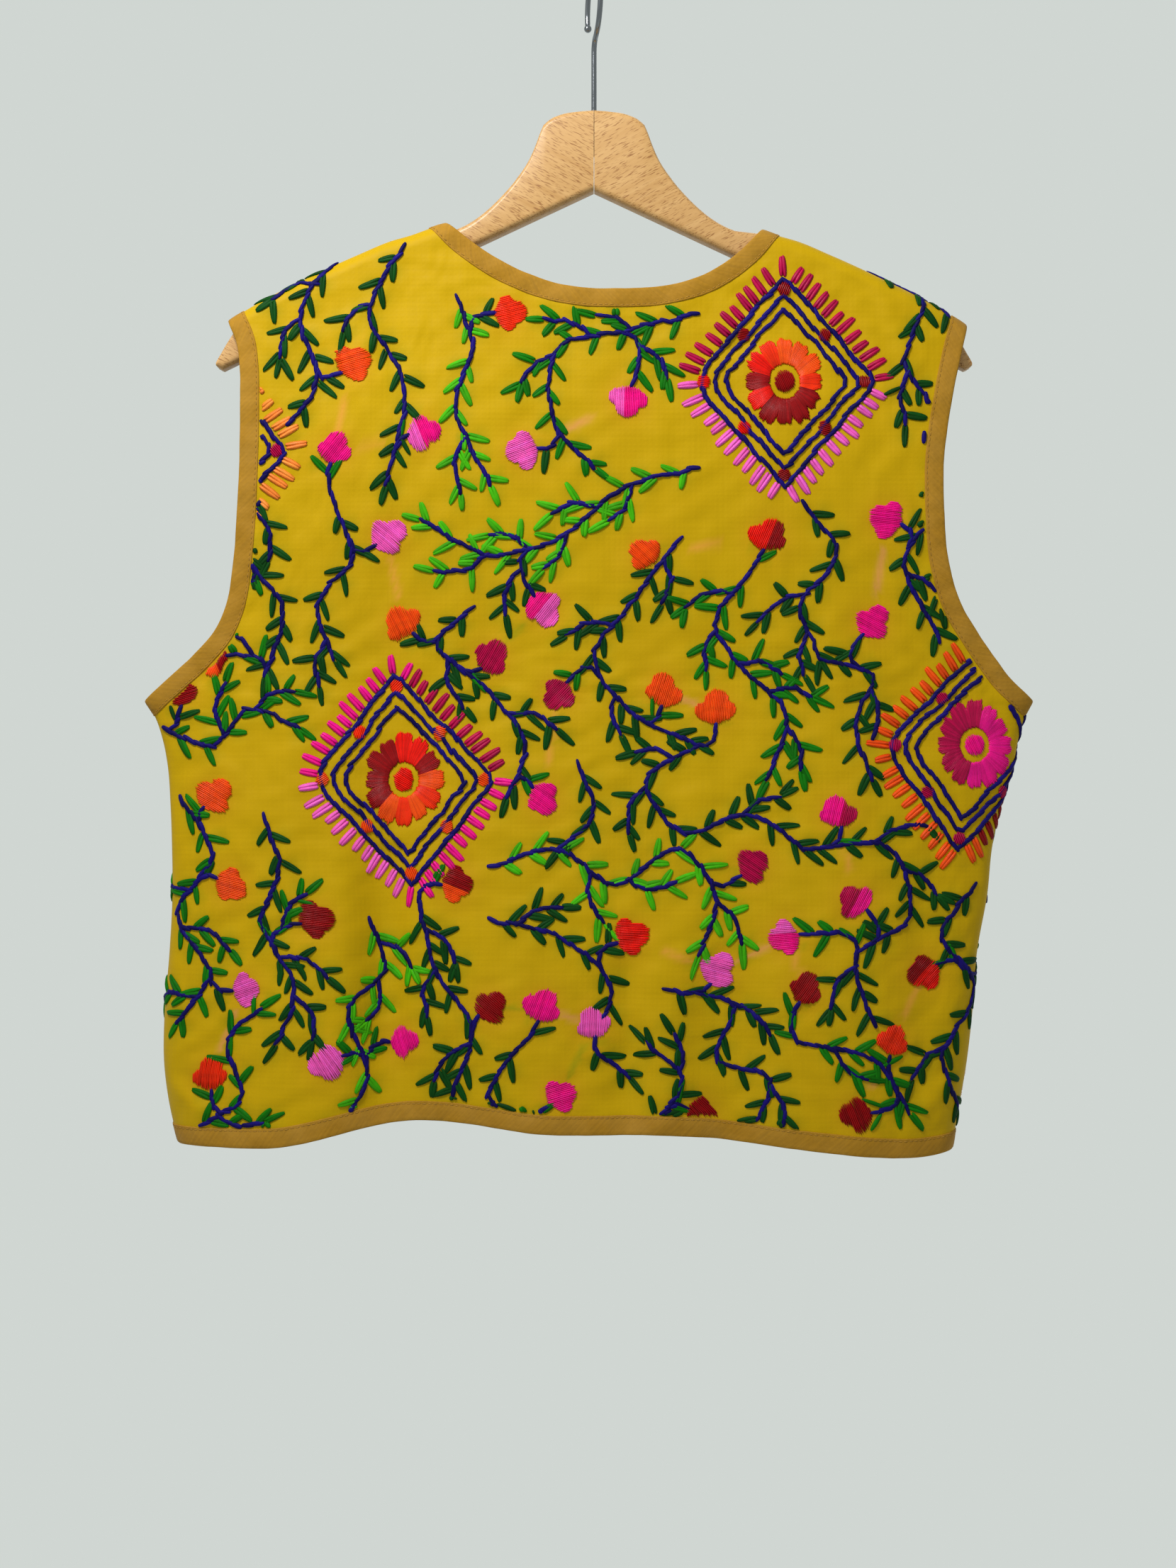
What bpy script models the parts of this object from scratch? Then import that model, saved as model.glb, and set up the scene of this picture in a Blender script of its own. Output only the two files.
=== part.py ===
"""A short sleeveless waistcoat of thin embroidered cloth, hanging on a wooden hanger with a wire hook.

Metres, +Z up. The origin is the inside of the hook's crown, where it hangs on its rail. The back of the
waistcoat faces -Y, and its left side is at -X. Heights on the garment are drops, which are distances below the
top of the wood. Edges and seams are drawn on the flattened cloth: x, and the drop of the shoulder line plus the
way along the cloth from it.
"""

import math

import bmesh
import bpy
import numpy as np
from mathutils import Vector

# Driving sizes of the hanger
HOOK_RISE = 0.083            # hook's crown, inside, above the top of the wood
WOOD_THICKNESS = 0.013
WOOD_EDGE_ROUND = 0.004
WOOD_BELOW_SHOULDER = 0.0033  # top of the wood under the cloth's outer shoulder line
WOOD_JOINT_GAP = 0.0003
WIRE_RADIUS = 0.0016
HOOK_RADIUS = 0.0216         # centre line of the loop
HOOK_BEND_RADIUS = 0.008     # where the loop joins the stem
HOOK_END_ANGLE = math.radians(71)   # from the loop's lowest point to the free end
HOOK_TURN = math.radians(10)        # the loop stands across the wood, turned this much from square
HOOK_BALL = 1.3              # end of the wire against the wire
HOOK_SOCKET = 0.026          # length of wire inside the wood
BORE_CLEARANCE = 0.0003

# Driving sizes of the waistcoat
CLOTH_WALL = 0.0015
BINDING_WIDTH = 0.0110
BINDING_PROUD_OUT, BINDING_PROUD_IN = 0.0006, 0.0002
SEAM_GAP = 0.0004
SHOULDER_RADIUS = 0.010      # the cloth's bend over the top of the wood
SECTION_FULLNESS = 0.35      # 0 is an ellipse, more is flatter with tighter side folds
SIDE_EASE = 0.02             # how softly the bend over the wood fades into the side folds
BEND_FADE_DROP = 0.150       # and where it starts to fade into the body below
NECK_CENTRE = 0.006
NECK_HALF_WIDTH = 0.092
BACK_NECK_FALL = 0.038
BACK_NECK_ROUND_LEFT, BACK_NECK_ROUND_RIGHT = 2.1, 3.2
FRONT_NECK_DROP = 0.240
FRONT_NECK_CURVE = 1.35
FRONT_MIDDLE = -0.002        # x of the gap between the fronts
FRONT_GAP = 0.012
SHOULDER_TIP_LEFT, SHOULDER_TIP_RIGHT = -0.213, 0.217
UNDERARM_DROP = 0.344
HEM_DROP = 0.600             # of the hem on average
FIRST_ROW_DROP = 0.585       # where the rows of a panel start, for their angles
HEM_STRIP_DROP = 0.595       # where the hem's binding takes its angles
RIM_SHARE = 0.55             # thickness of a binding's rounded rim against its wall
SEAM_TURN = 0.030            # an edge's seam turns to the shoulder line over this last stretch

# Mesh divisions, as shares of a seam's length
NECK_COLUMNS = (0, .20, .40, .58, .74, .86, .915, .945, .972, 1)
SHOULDER_COLUMNS = 8
UPPER_ROWS = (0, .03, .07, .12, .19, .28, .38, .48, .58, .68, .77, .85, .905, .938, .954, .970, .985, 1)
LOWER_ROWS = 8
COLUMNS = len(NECK_COLUMNS) - 1 + SHOULDER_COLUMNS

# The shoulder line that the cloth takes over the wood: distance from the middle, drop
SHOULDER_X = (0, .060, .092, .107, .119, .137, .154, .167, .190, .203, .216, .262)
SHOULDER_DROP = (.060, .061, .0672, .0725, .0760, .0836, .0912, .0975, .1090, .1165, .1250, .1650)

# The hanging tube of cloth below the arms: drop, x of the left side fold and of the right one
BODY_DROP = (.344, .352, .367, .381, .405, .430, .456, .490, .527, .556, .584, .604)
BODY_LEFT = (-.262, -.257, -.2517, -.2490, -.2472, -.2463, -.2460, -.2476, -.2505, -.2505, -.2463, -.2410)
BODY_RIGHT = (.256, .252, .2476, .2450, .2375, .2323, .2296, .2235, .2205, .2170, .2120, .2087)

# Half depth of the whole garment beyond the bend over the wood: drop, half depth
DEPTH_DROP = (.060, .110, .150, .230, .344, .430, .520, .604)
HALF_DEPTH = (0, .001, .003, .008, .014, .021, .029, .035)

# Edge of each armhole between the shoulder tip and the underarm: drop, x on the left, x on the right
ARMHOLE_DROP = (.137, .150, .173, .205, .235, .265, .290, .304, .318, .331)
ARMHOLE_LEFT = (-.207, -.205, -.2046, -.205, -.2065, -.209, -.2135, -.220, -.2325, -.247)
ARMHOLE_RIGHT = (.214, .211, .2065, .2023, .2025, .2055, .2135, .222, .2315, .2415)

# Lower edge: x, drop at the back, drop at the fronts
HEM_X = (-.241, -.175, -.127, -.100, -.070, -.030, .045, .118, .198, .209)
HEM_BACK_DROP = (.600, .598, .588, .5845, .586, .591, .5925, .600, .605, .6036)
HEM_FRONT_DROP = (.600, .597, .594, .593, .594, .596, .595, .593, .601, .6036)

# Wood, one half: distance from the middle and drop of the top edge by the hook, at the tip, and of the lower edge
WOOD_NECK_X = (0, .0100, .0199, .0265, .0304, .0324, .0364, .0447, .0546, .0646, .0746, .0820)
WOOD_NECK_DROP = (0, .0008, .0027, .0060, .0103, .0160, .0260, .0393, .0509, .0602, .0669, .0702)
WOOD_ARM_START, WOOD_ARM_END, WOOD_ARM_SECTIONS = .096, .200, 8
WOOD_TIP_X = (.2090, .2150, .2185, .2197)
WOOD_TIP_DROP = (.1283, .1378, .1444, .1474)
WOOD_UNDER_X = (0, .0900, .2165, .2197)
WOOD_UNDER_DROP = (.0470, .0891, .1515, .1492)

BACK, FRONT = -1, 1

# Largest soft folds: x and drop where each starts, x at the hem, width, and height there
FOLDS = (
    dict(side=BACK, x=-.165, drop=.20, hem_x=-.172, width=.034, height=.0065),
    dict(side=BACK, x=-.125, drop=.18, hem_x=-.103, width=.026, height=-.0085),
    dict(side=BACK, x=-.050, drop=.30, hem_x=-.036, width=.026, height=.0035),
    dict(side=BACK, x=.060, drop=.36, hem_x=.078, width=.024, height=-.0060),
    dict(side=BACK, x=.150, drop=.20, hem_x=.140, width=.036, height=.0060),
    dict(side=FRONT, x=-.140, drop=.20, hem_x=-.150, width=.034, height=.0070),
    dict(side=FRONT, x=-.100, drop=.26, hem_x=-.085, width=.028, height=-.0070),
    dict(side=FRONT, x=.085, drop=.28, hem_x=.075, width=.030, height=-.0065),
    dict(side=FRONT, x=.140, drop=.20, hem_x=.135, width=.034, height=.0065),
)


def smooth(at, xs, ys):
    """Smooth curve through a table, held level past its ends."""
    xs, ys = np.asarray(xs, float), np.asarray(ys, float)
    at = np.clip(at, xs[0], xs[-1])
    slopes = np.gradient(ys, xs)
    i = np.clip(np.searchsorted(xs, at) - 1, 0, len(xs) - 2)
    span = xs[i + 1] - xs[i]
    t = (at - xs[i]) / span
    return ((1 + 2 * t) * (1 - t) ** 2 * ys[i] + t * (1 - t) ** 2 * span * slopes[i]
            + t ** 2 * (3 - 2 * t) * ys[i + 1] + t ** 2 * (t - 1) * span * slopes[i + 1])


def ease(t):
    """0 to 1 with level ends."""
    t = np.clip(t, 0, 1)
    return t * t * (3 - 2 * t)


def unit(vectors):
    return vectors / np.linalg.norm(vectors, axis=-1, keepdims=True)


def shoulder_drop(x):
    return smooth(np.abs(x), SHOULDER_X, SHOULDER_DROP)


def body_middle_and_half(drop):
    left, right = smooth(drop, BODY_DROP, BODY_LEFT), smooth(drop, BODY_DROP, BODY_RIGHT)
    return (left + right) / 2, (right - left) / 2


def across(angle):
    """Share of the half width reached at this angle round the section."""
    return np.sin(angle) * (1 + SECTION_FULLNESS * np.cos(angle) ** 2)


def angle_at(x, drop):
    """Angle round the section at which the cloth has this x."""
    middle, half = body_middle_and_half(drop)
    angles = np.linspace(-math.pi / 2, math.pi / 2, 2881)
    return np.interp((x - middle) / half, across(angles), angles)


def shoulder_drop_at(angle):
    """Drop of the shoulder line above this angle of the section."""
    middle, half = body_middle_and_half(UNDERARM_DROP)
    return shoulder_drop(middle + half * across(angle))


def below_from_over(over):
    """Height below the shoulder line, for a way along the cloth from it."""
    turn = np.minimum(over / SHOULDER_RADIUS, math.pi / 2)
    return SHOULDER_RADIUS * (1 - np.cos(turn)) + np.maximum(over - SHOULDER_RADIUS * math.pi / 2, 0)


def over_from_below(below):
    below = np.maximum(below, 0)
    bend = SHOULDER_RADIUS * np.arccos(np.clip(1 - below / SHOULDER_RADIUS, -1, 1))
    return np.where(below < SHOULDER_RADIUS, bend, below + SHOULDER_RADIUS * (math.pi / 2 - 1))


def fold_relief(x, drop, side):
    """How far the soft folds push the cloth outwards."""
    total = np.zeros_like(x)
    for fold in FOLDS:
        fall = np.clip((drop - fold["drop"]) / (HEM_DROP - fold["drop"]), 0, 1.02)
        line = fold["x"] + (fold["hem_x"] - fold["x"]) * fall
        bump = fold["height"] * np.exp(-((x - line) / fold["width"]) ** 2) * ease(fall)
        total += np.where(side == fold["side"], bump, 0)
    return total


def cloth(angle, over, side):
    """Outer surface of the garment. angle runs from -90 degrees at the left side fold to 90 at the right one,
    and over is the way down from the shoulder line; below zero it is on the other side."""
    side = np.where(over < 0, -side, side)
    drop = shoulder_drop_at(angle) + below_from_over(np.abs(over))
    middle, half = body_middle_and_half(drop)
    x = middle + half * across(angle)
    facing = np.cos(angle)
    bend = SHOULDER_RADIUS * np.sin(np.minimum(np.abs(over) / SHOULDER_RADIUS, math.pi / 2))
    fade = 1 - ease((drop - BEND_FADE_DROP) / (UNDERARM_DROP - BEND_FADE_DROP))
    bend = bend * facing / np.sqrt(facing ** 2 + SIDE_EASE) * fade
    body = facing * (1 + SECTION_FULLNESS * np.sin(angle) ** 2) * smooth(drop, DEPTH_DROP, HALF_DEPTH)
    relief = fold_relief(x, drop, np.where(facing < 0, -side, side)) * ease(np.abs(facing) * 1.6) * np.sign(facing)
    return np.stack([x, side * (bend + body + relief), -(HOOK_RISE + drop)], -1)


def surface(places, side, depth=0.0):
    """Points of the garment at places of angle and way over, at this depth below the outer surface."""
    angle, over = places[..., 0], places[..., 1]
    step = 1e-4
    along = cloth(angle + step, over, side) - cloth(angle - step, over, side)
    down = cloth(angle, over + step * .2, side) - cloth(angle, over - step * .2, side)
    return cloth(angle, over, side) - unit(np.cross(along, down)) * side * depth


def flattened(xs, drops):
    """Points at these x and drops, on the flattened cloth."""
    xs, drops = np.broadcast_arrays(np.asarray(xs, float), np.asarray(drops, float))
    return np.stack([xs, shoulder_drop(xs) + over_from_below(drops - shoulder_drop(xs))], -1)


def on_cloth(flat, side=BACK):
    """Points of the flattened cloth as angle and way over. At the front, over is below zero."""
    x = flat[..., 0]
    drop = shoulder_drop(x) + below_from_over(np.maximum(flat[..., 1] - shoulder_drop(x), 0))
    angle = angle_at(x, drop)
    return np.stack([angle, -side * over_from_below(drop - shoulder_drop_at(angle))], -1)


def resampled(line, shares):
    """The same line with points at these shares of its length."""
    way = np.concatenate([[0], np.cumsum(np.linalg.norm(np.diff(line, axis=0), axis=1))])
    return np.stack([np.interp(np.asarray(shares) * way[-1], way, line[:, k]) for k in (0, 1)], -1)


def seam_beside(edge, distance, turn):
    """Line this far inside an edge: square to it, but along the shoulder line where it crosses that.
    turn is 1 where the cloth lies to the right of the edge's travel, -1 where it lies to the left."""
    run = unit(np.gradient(edge, axis=0))
    sideways = np.stack([-run[:, 1], run[:, 0]], -1) * turn
    slope = (shoulder_drop(edge[:, 0] + .001) - shoulder_drop(edge[:, 0] - .001)) / .002
    along = unit(np.stack([np.ones_like(slope), slope], -1)) * np.sign(sideways[:, :1])
    near = ease(1 - (edge[:, 1] - shoulder_drop(edge[:, 0])) / SEAM_TURN)[:, None]
    line = edge + unit(sideways * (1 - near) + along * near) * distance
    line[:, 1] = np.maximum(line[:, 1], shoulder_drop(line[:, 0]))
    return line


def armhole_edge(left):
    """Edge of one armhole on the flattened cloth, from the underarm up to the shoulder tip."""
    tip, xs, fold = ((SHOULDER_TIP_LEFT, ARMHOLE_LEFT, BODY_LEFT[0]) if left
                     else (SHOULDER_TIP_RIGHT, ARMHOLE_RIGHT, BODY_RIGHT[0]))
    tip_drop = float(shoulder_drop(tip))
    drops = np.linspace(UNDERARM_DROP, tip_drop, 600)
    xs = smooth(drops, (tip_drop, *ARMHOLE_DROP, UNDERARM_DROP), (tip, *xs, fold))
    return resampled(flattened(xs, drops), UPPER_ROWS)


def armhole_seam(left, extra=0.0):
    distance = BINDING_WIDTH + extra
    edge = armhole_edge(left)
    line = seam_beside(edge, distance, 1 if left else -1)
    line[0] = edge[0] + (0, chest_drop(extra) - UNDERARM_DROP)
    line[-1, 1] = shoulder_drop(line[-1, 0])
    return line


def neck_point(left):
    x = NECK_CENTRE + (-NECK_HALF_WIDTH if left else NECK_HALF_WIDTH)
    return x, float(shoulder_drop(x))


def back_neck_edge():
    """Back neckline from the left neck point to the right one."""
    shares = np.linspace(-1, 1, 801)
    (_, left_drop), (_, right_drop) = neck_point(True), neck_point(False)
    bottom = (left_drop + right_drop) / 2 + BACK_NECK_FALL
    power = np.where(shares < 0, BACK_NECK_ROUND_LEFT, BACK_NECK_ROUND_RIGHT)
    drop = bottom - (bottom - np.where(shares < 0, left_drop, right_drop)) * np.abs(shares) ** power
    line = flattened(NECK_CENTRE + NECK_HALF_WIDTH * shares, drop)
    halves = resampled(line[:401][::-1], NECK_COLUMNS), resampled(line[400:], NECK_COLUMNS)
    return np.concatenate([halves[0][::-1], halves[1][1:]])


def front_neck_edge(left):
    """Front neckline from the front edge up to the neck point."""
    start = FRONT_MIDDLE + (-FRONT_GAP / 2 if left else FRONT_GAP / 2)
    x, drop = neck_point(left)
    up = np.linspace(1, 0, 600)
    return resampled(flattened(x + (start - x) * up ** FRONT_NECK_CURVE, drop + (FRONT_NECK_DROP - drop) * up),
                     NECK_COLUMNS)


def back_neck_seam(extra=0.0):
    line = seam_beside(back_neck_edge(), BINDING_WIDTH + extra, 1)
    line[[0, -1], 1] = shoulder_drop(line[[0, -1], 0])
    return line


def front_neck_seam(left, extra=0.0):
    edge = front_neck_edge(left)
    line = seam_beside(edge, BINDING_WIDTH + extra, -1 if left else 1)
    line[0] = (front_edge_x(left, BINDING_WIDTH + extra), edge[0, 1] + (BINDING_WIDTH + extra) * .6)
    line[-1] = back_neck_seam(extra)[0 if left else -1]
    return line


def front_edge_x(left, inside=0.0):
    away = FRONT_GAP / 2 + inside
    return FRONT_MIDDLE + (-away if left else away)


def hem_drop(angles, side, rise):
    """Drop of a line this far above the hem, at each angle of the section."""
    middle, half = body_middle_and_half(HEM_DROP)
    drops = HEM_BACK_DROP if side == BACK else HEM_FRONT_DROP
    return smooth(middle + half * across(angles), HEM_X, drops) - rise


def back_angles():
    half = np.linspace(0, math.pi / 2, COLUMNS + 1)
    half = half * (half / half[-1]) ** .2
    return np.concatenate([-half[::-1], half[1:]])


def front_angles(left, drop, inside):
    """Angles from one front's edge, or a line this far inside it, out to its side fold."""
    start = angle_at(front_edge_x(left, inside), drop)
    end = -math.pi / 2 if left else math.pi / 2
    return start + (end - start) * np.linspace(0, 1, COLUMNS + 1) ** .92


def chest_drop(extra=0.0):
    """Drop of the seam below the underarm."""
    return UNDERARM_DROP + BINDING_WIDTH * .8 + extra * 1.5


def lower_rows(side, angles_at):
    """Places from the hem's seam up to the chest line, row by row. angles_at gives a row's angles at its drop."""
    rows = []
    chest = chest_drop(SEAM_GAP)
    for share in np.linspace(0, 1, LOWER_ROWS + 1)[:-1]:
        angles = angles_at(FIRST_ROW_DROP + (chest - FIRST_ROW_DROP) * share)
        hem = hem_drop(angles, side, BINDING_WIDTH + SEAM_GAP)
        drop = hem + (chest - hem) * share
        rows.append(np.stack([angles, -side * over_from_below(drop - shoulder_drop_at(angles))], -1))
    return np.array(rows)


def blended(bottom, top, first, last):
    """Grid of flat points inside four edges, which share their corners."""
    w = np.asarray(UPPER_ROWS)[:, None, None]
    shares = [(line[:, :1] - line[0, 0]) / (line[-1, 0] - line[0, 0]) for line in (bottom, top)]
    s = (1 - w) * shares[0] + w * shares[1]
    bow_first = first[:, None] - (1 - w) * bottom[0] - w * top[0]
    bow_last = last[:, None] - (1 - w) * bottom[-1] - w * top[-1]
    return (1 - w) * bottom + w * top + (1 - s) * bow_first + s * bow_last


def chest_line(angles, extra):
    middle, half = body_middle_and_half(chest_drop(extra))
    return flattened(middle + half * across(angles), chest_drop(extra))


def shoulder_line(start, end):
    xs = np.linspace(start[0], end[0], SHOULDER_COLUMNS + 1)[1:]
    return np.stack([xs, shoulder_drop(xs)], -1)


def back_places():
    """Places over the whole back, from the hem up to the neck and the shoulders."""
    left, right = armhole_seam(True, SEAM_GAP), armhole_seam(False, SEAM_GAP)
    neck = back_neck_seam(SEAM_GAP)
    top = np.concatenate([shoulder_line(neck[0], left[-1])[::-1], neck, shoulder_line(neck[-1], right[-1])])
    chest = chest_line(back_angles(), SEAM_GAP)
    left[0], right[0] = chest[0], chest[-1]
    upper = blended(chest, top, left, right)
    return np.concatenate([lower_rows(BACK, lambda drop: back_angles()), on_cloth(upper)])


def front_places(left):
    """Places over one front, from the hem up, each row from its front edge out to the side."""
    inside = BINDING_WIDTH + SEAM_GAP
    side_seam = armhole_seam(left, SEAM_GAP)
    neck = front_neck_seam(left, SEAM_GAP)
    top = np.concatenate([neck, shoulder_line(neck[-1], side_seam[-1])])
    chest = chest_line(front_angles(left, chest_drop(), inside), SEAM_GAP)
    edge = chest[0] + (top[0] - chest[0]) * np.asarray(UPPER_ROWS)[:, None]
    side_seam[0] = chest[-1]
    upper = blended(chest, top, edge, side_seam)
    return np.concatenate([lower_rows(FRONT, lambda drop: front_angles(left, drop, inside)), on_cloth(upper, FRONT)])


def panel(name, places, material):
    """A panel of cloth that keeps half a gap to the shoulder line and to the side folds."""
    sign = np.sign(places[0, 0, 1])
    angle, over = places[..., 0], np.maximum(np.abs(places[..., 1]), SEAM_GAP * .55)
    drop = np.maximum(shoulder_drop_at(angle) + below_from_over(over), UNDERARM_DROP)
    limit = math.pi / 2 - SEAM_GAP * .7 / (smooth(drop, DEPTH_DROP, HALF_DEPTH) * (1 + SECTION_FULLNESS))
    places = np.stack([np.clip(angle, -limit, limit), over * sign], -1)
    return walled(name, surface(places, BACK), surface(places, BACK, CLOTH_WALL), material)


def binding(name, edge, seam, material):
    """A strip folded over an edge, as thick as its cloth and a fold each side. Both lines are places."""
    lines = np.stack([edge, seam], 1)
    outer = surface(lines, BACK, -BINDING_PROUD_OUT)
    inner = surface(lines, BACK, CLOTH_WALL + BINDING_PROUD_IN)
    middle = (outer[:, 0] + inner[:, 0]) / 2
    inwards = unit((outer[:, 1] + inner[:, 1]) / 2 - middle)
    round_by = (CLOTH_WALL + BINDING_PROUD_OUT + BINDING_PROUD_IN) / 4
    grids = []
    for grid in (outer, inner):
        rim = middle + (grid[:, 0] - middle) * RIM_SHARE
        grid[:, 0] += inwards * round_by
        grids.append(np.concatenate([rim[:, None], grid], 1))
    return walled(name, *grids, material)


def walled(name, outer, inner, material):
    """One closed body between two grids of points that match."""
    rows, columns = outer.shape[:2]
    bm = bmesh.new()
    bmesh.ops.create_grid(bm, x_segments=columns - 1, y_segments=rows - 1, size=1)
    place = bm.verts.layers.int.new("place")
    for vertex in bm.verts:
        column, row = (round((at + 1) / 2 * (count - 1)) for at, count in zip(vertex.co.xy, (columns, rows)))
        vertex[place] = row * columns + column
    made = bmesh.ops.extrude_face_region(bm, geom=bm.faces[:])
    second = {item for item in made["geom"] if isinstance(item, bmesh.types.BMVert)}
    for vertex in bm.verts:
        vertex.co = Vector((inner if vertex in second else outer)[divmod(vertex[place], columns)])
    bm.verts.layers.int.remove(place)
    return finished(name, bm, material)


def lofted(name, rings, material):
    """One closed body through rings of as many points, with flat ends."""
    bm = bmesh.new()
    bmesh.ops.create_circle(bm, cap_ends=True, segments=len(rings[0]), radius=1)
    place = bm.verts.layers.int.new("place")
    for count, vertex in enumerate(bm.verts):
        vertex[place], vertex.co = count, Vector(rings[0][count])
    cap = bm.faces[:]
    for count, ring in enumerate(rings[1:]):
        made = bmesh.ops.extrude_face_region(bm, geom=cap)["geom"]
        if count:
            bmesh.ops.delete(bm, geom=cap, context="FACES_ONLY")
        cap = [item for item in made if isinstance(item, bmesh.types.BMFace)]
        for vertex in cap[0].verts:
            vertex.co = Vector(ring[vertex[place]])
    bm.verts.layers.int.remove(place)
    return finished(name, bm, material)


def finished(name, bm, material):
    """A bmesh as a named object of the scene, facing out and shaded smooth."""
    bmesh.ops.recalc_face_normals(bm, faces=bm.faces)
    if bm.calc_volume(signed=True) < 0:
        bmesh.ops.reverse_faces(bm, faces=bm.faces)
    mesh = bpy.data.meshes.new(name)
    bm.to_mesh(mesh)
    bm.free()
    mesh.shade_smooth()
    mesh.set_sharp_from_angle(angle=math.radians(50))
    mesh.materials.append(material)
    made = bpy.data.objects.new(name, mesh)
    bpy.context.scene.collection.objects.link(made)
    return made


def armhole_binding(name, left, material):
    """Ring round one armhole: up the back, over the shoulder and down the front, its ends meeting underarm."""
    lines = []
    for flat in (armhole_edge(left), armhole_seam(left)):
        back = on_cloth(flat)
        fold = math.pi / 2 - SEAM_GAP / (HALF_DEPTH[DEPTH_DROP.index(UNDERARM_DROP)] * (1 + SECTION_FULLNESS))
        back[0, 0] = -fold if left else fold
        lines.append(np.concatenate([back, back[:-1][::-1] * (1, -1)]))
    return binding(name, *lines, material)


def neck_binding(name, material):
    """One strip: up the left front's edge, round the neck and down the right front's edge."""
    lines = []
    for inside in (0, BINDING_WIDTH):
        fronts = []
        for left in (True, False):
            neck = front_neck_seam(left) if inside else front_neck_edge(left)
            x = front_edge_x(left, inside)
            hem = hem_drop(angle_at(x, HEM_DROP), FRONT, BINDING_WIDTH + SEAM_GAP * 1.5)
            bottom, chest = flattened(x, hem), flattened(x, chest_drop())
            rows = [bottom + (chest - bottom) * share for share in np.linspace(0, 1, LOWER_ROWS + 1)[:-1]]
            rows += [chest + (neck[0] - chest) * share for share in UPPER_ROWS]
            fronts.append(on_cloth(np.concatenate([rows, neck[1:]]), FRONT))
        back = on_cloth(back_neck_seam() if inside else back_neck_edge())
        lines.append(np.concatenate([fronts[0][:-1], back, fronts[1][:-1][::-1]]))
    return binding(name, *lines, material)


def hem_binding(name, material):
    """One strip round the lower edge, from one front edge to the other by way of the back."""
    lines = []
    for rise in (0, BINDING_WIDTH):
        sides = []
        for side, angles in ((FRONT, front_angles(True, HEM_STRIP_DROP, 0)), (BACK, back_angles()),
                             (FRONT, front_angles(False, HEM_STRIP_DROP, 0))):
            over = over_from_below(hem_drop(angles, side, rise) - shoulder_drop_at(angles))
            sides.append(np.stack([angles, -side * over], -1))
        lines.append(np.concatenate([sides[0][:-1], sides[1], sides[2][:-1][::-1]]))
    return binding(name, *lines, material)


def wood_half(name, left, material):
    """One arm of the hanger, lofted from the middle joint to the tip through upright sections."""
    arm = np.linspace(WOOD_ARM_START, WOOD_ARM_END, WOOD_ARM_SECTIONS)
    xs = np.concatenate([WOOD_NECK_X, arm, WOOD_TIP_X])
    tops = np.concatenate([WOOD_NECK_DROP, shoulder_drop(arm) + WOOD_BELOW_SHOULDER, WOOD_TIP_DROP])
    xs[0] = WOOD_JOINT_GAP / 2
    bottoms = np.interp(xs, WOOD_UNDER_X, WOOD_UNDER_DROP)
    rings = []
    for x, top, bottom in zip(xs, tops, bottoms):
        rounding = min(WOOD_EDGE_ROUND, (bottom - top) * .45)
        ring = []
        for quarter, (y_sign, drop) in enumerate(((1, top + rounding), (-1, top + rounding),
                                                  (-1, bottom - rounding), (1, bottom - rounding))):
            for part in (0, 45, 90):
                turn = math.radians(quarter * 90 + part)
                y = y_sign * (WOOD_THICKNESS / 2 - rounding) + rounding * math.cos(turn)
                ring.append((-x if left else x, y, -(HOOK_RISE + drop - rounding * math.sin(turn))))
        rings.append(ring)
    return lofted(name, rings, material)


def bore_for(wire_bottom, halves):
    """Cuts the hole for the hook's stem out of both arms."""
    bm = bmesh.new()
    top = -HOOK_RISE + .005
    bmesh.ops.create_cone(bm, cap_ends=True, segments=16, radius1=WIRE_RADIUS + BORE_CLEARANCE,
                          radius2=WIRE_RADIUS + BORE_CLEARANCE, depth=top - wire_bottom + .0005)
    bmesh.ops.translate(bm, verts=bm.verts, vec=(0, 0, (top + wire_bottom - .0005) / 2))
    cutter = finished("cut_stem_bore", bm, halves[0].data.materials[0])
    cutter.hide_render = True
    cutter.display_type = "WIRE"
    for half in halves:
        cut = half.modifiers.new("stem_bore", "BOOLEAN")
        cut.operation, cut.object, cut.solver = "DIFFERENCE", cutter, "EXACT"


def hook(name, material):
    """Bent wire: a straight stem, a small bend to one side and the loop over the top to its ball end."""
    centre = -(HOOK_RADIUS - WIRE_RADIUS)
    bend = math.acos(HOOK_BEND_RADIUS / (HOOK_RADIUS + HOOK_BEND_RADIUS))
    stem_top = centre - HOOK_RADIUS * math.sin(bend) - HOOK_BEND_RADIUS * math.sin(bend)
    stem_bottom = -HOOK_RISE - HOOK_SOCKET
    path = [(0, z) for z in np.linspace(stem_bottom, stem_top, 6)]
    for turn in np.linspace(0, bend, 8)[1:]:
        path.append((-HOOK_BEND_RADIUS * (1 - math.cos(turn)), stem_top + HOOK_BEND_RADIUS * math.sin(turn)))
    for turn in np.linspace(math.pi / 2 - bend, math.tau - HOOK_END_ANGLE, 36)[1:]:
        path.append((-HOOK_RADIUS * math.sin(turn), centre - HOOK_RADIUS * math.cos(turn)))
    curve = bpy.data.curves.new(name, "CURVE")
    curve.dimensions = "3D"
    curve.bevel_depth = WIRE_RADIUS
    curve.bevel_resolution = 2
    curve.use_fill_caps = True
    spline = curve.splines.new("POLY")
    spline.points.add(len(path) - 1)
    for point, (reach, z) in zip(spline.points, path):
        point.co = (-math.sin(HOOK_TURN) * reach, math.cos(HOOK_TURN) * reach, z, 1)
    for back, radius in enumerate((.75, HOOK_BALL, HOOK_BALL)):
        spline.points[-1 - back].radius = radius
    curve.materials.append(material)
    bpy.context.scene.collection.objects.link(bpy.data.objects.new(name, curve))
    return stem_bottom


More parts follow.
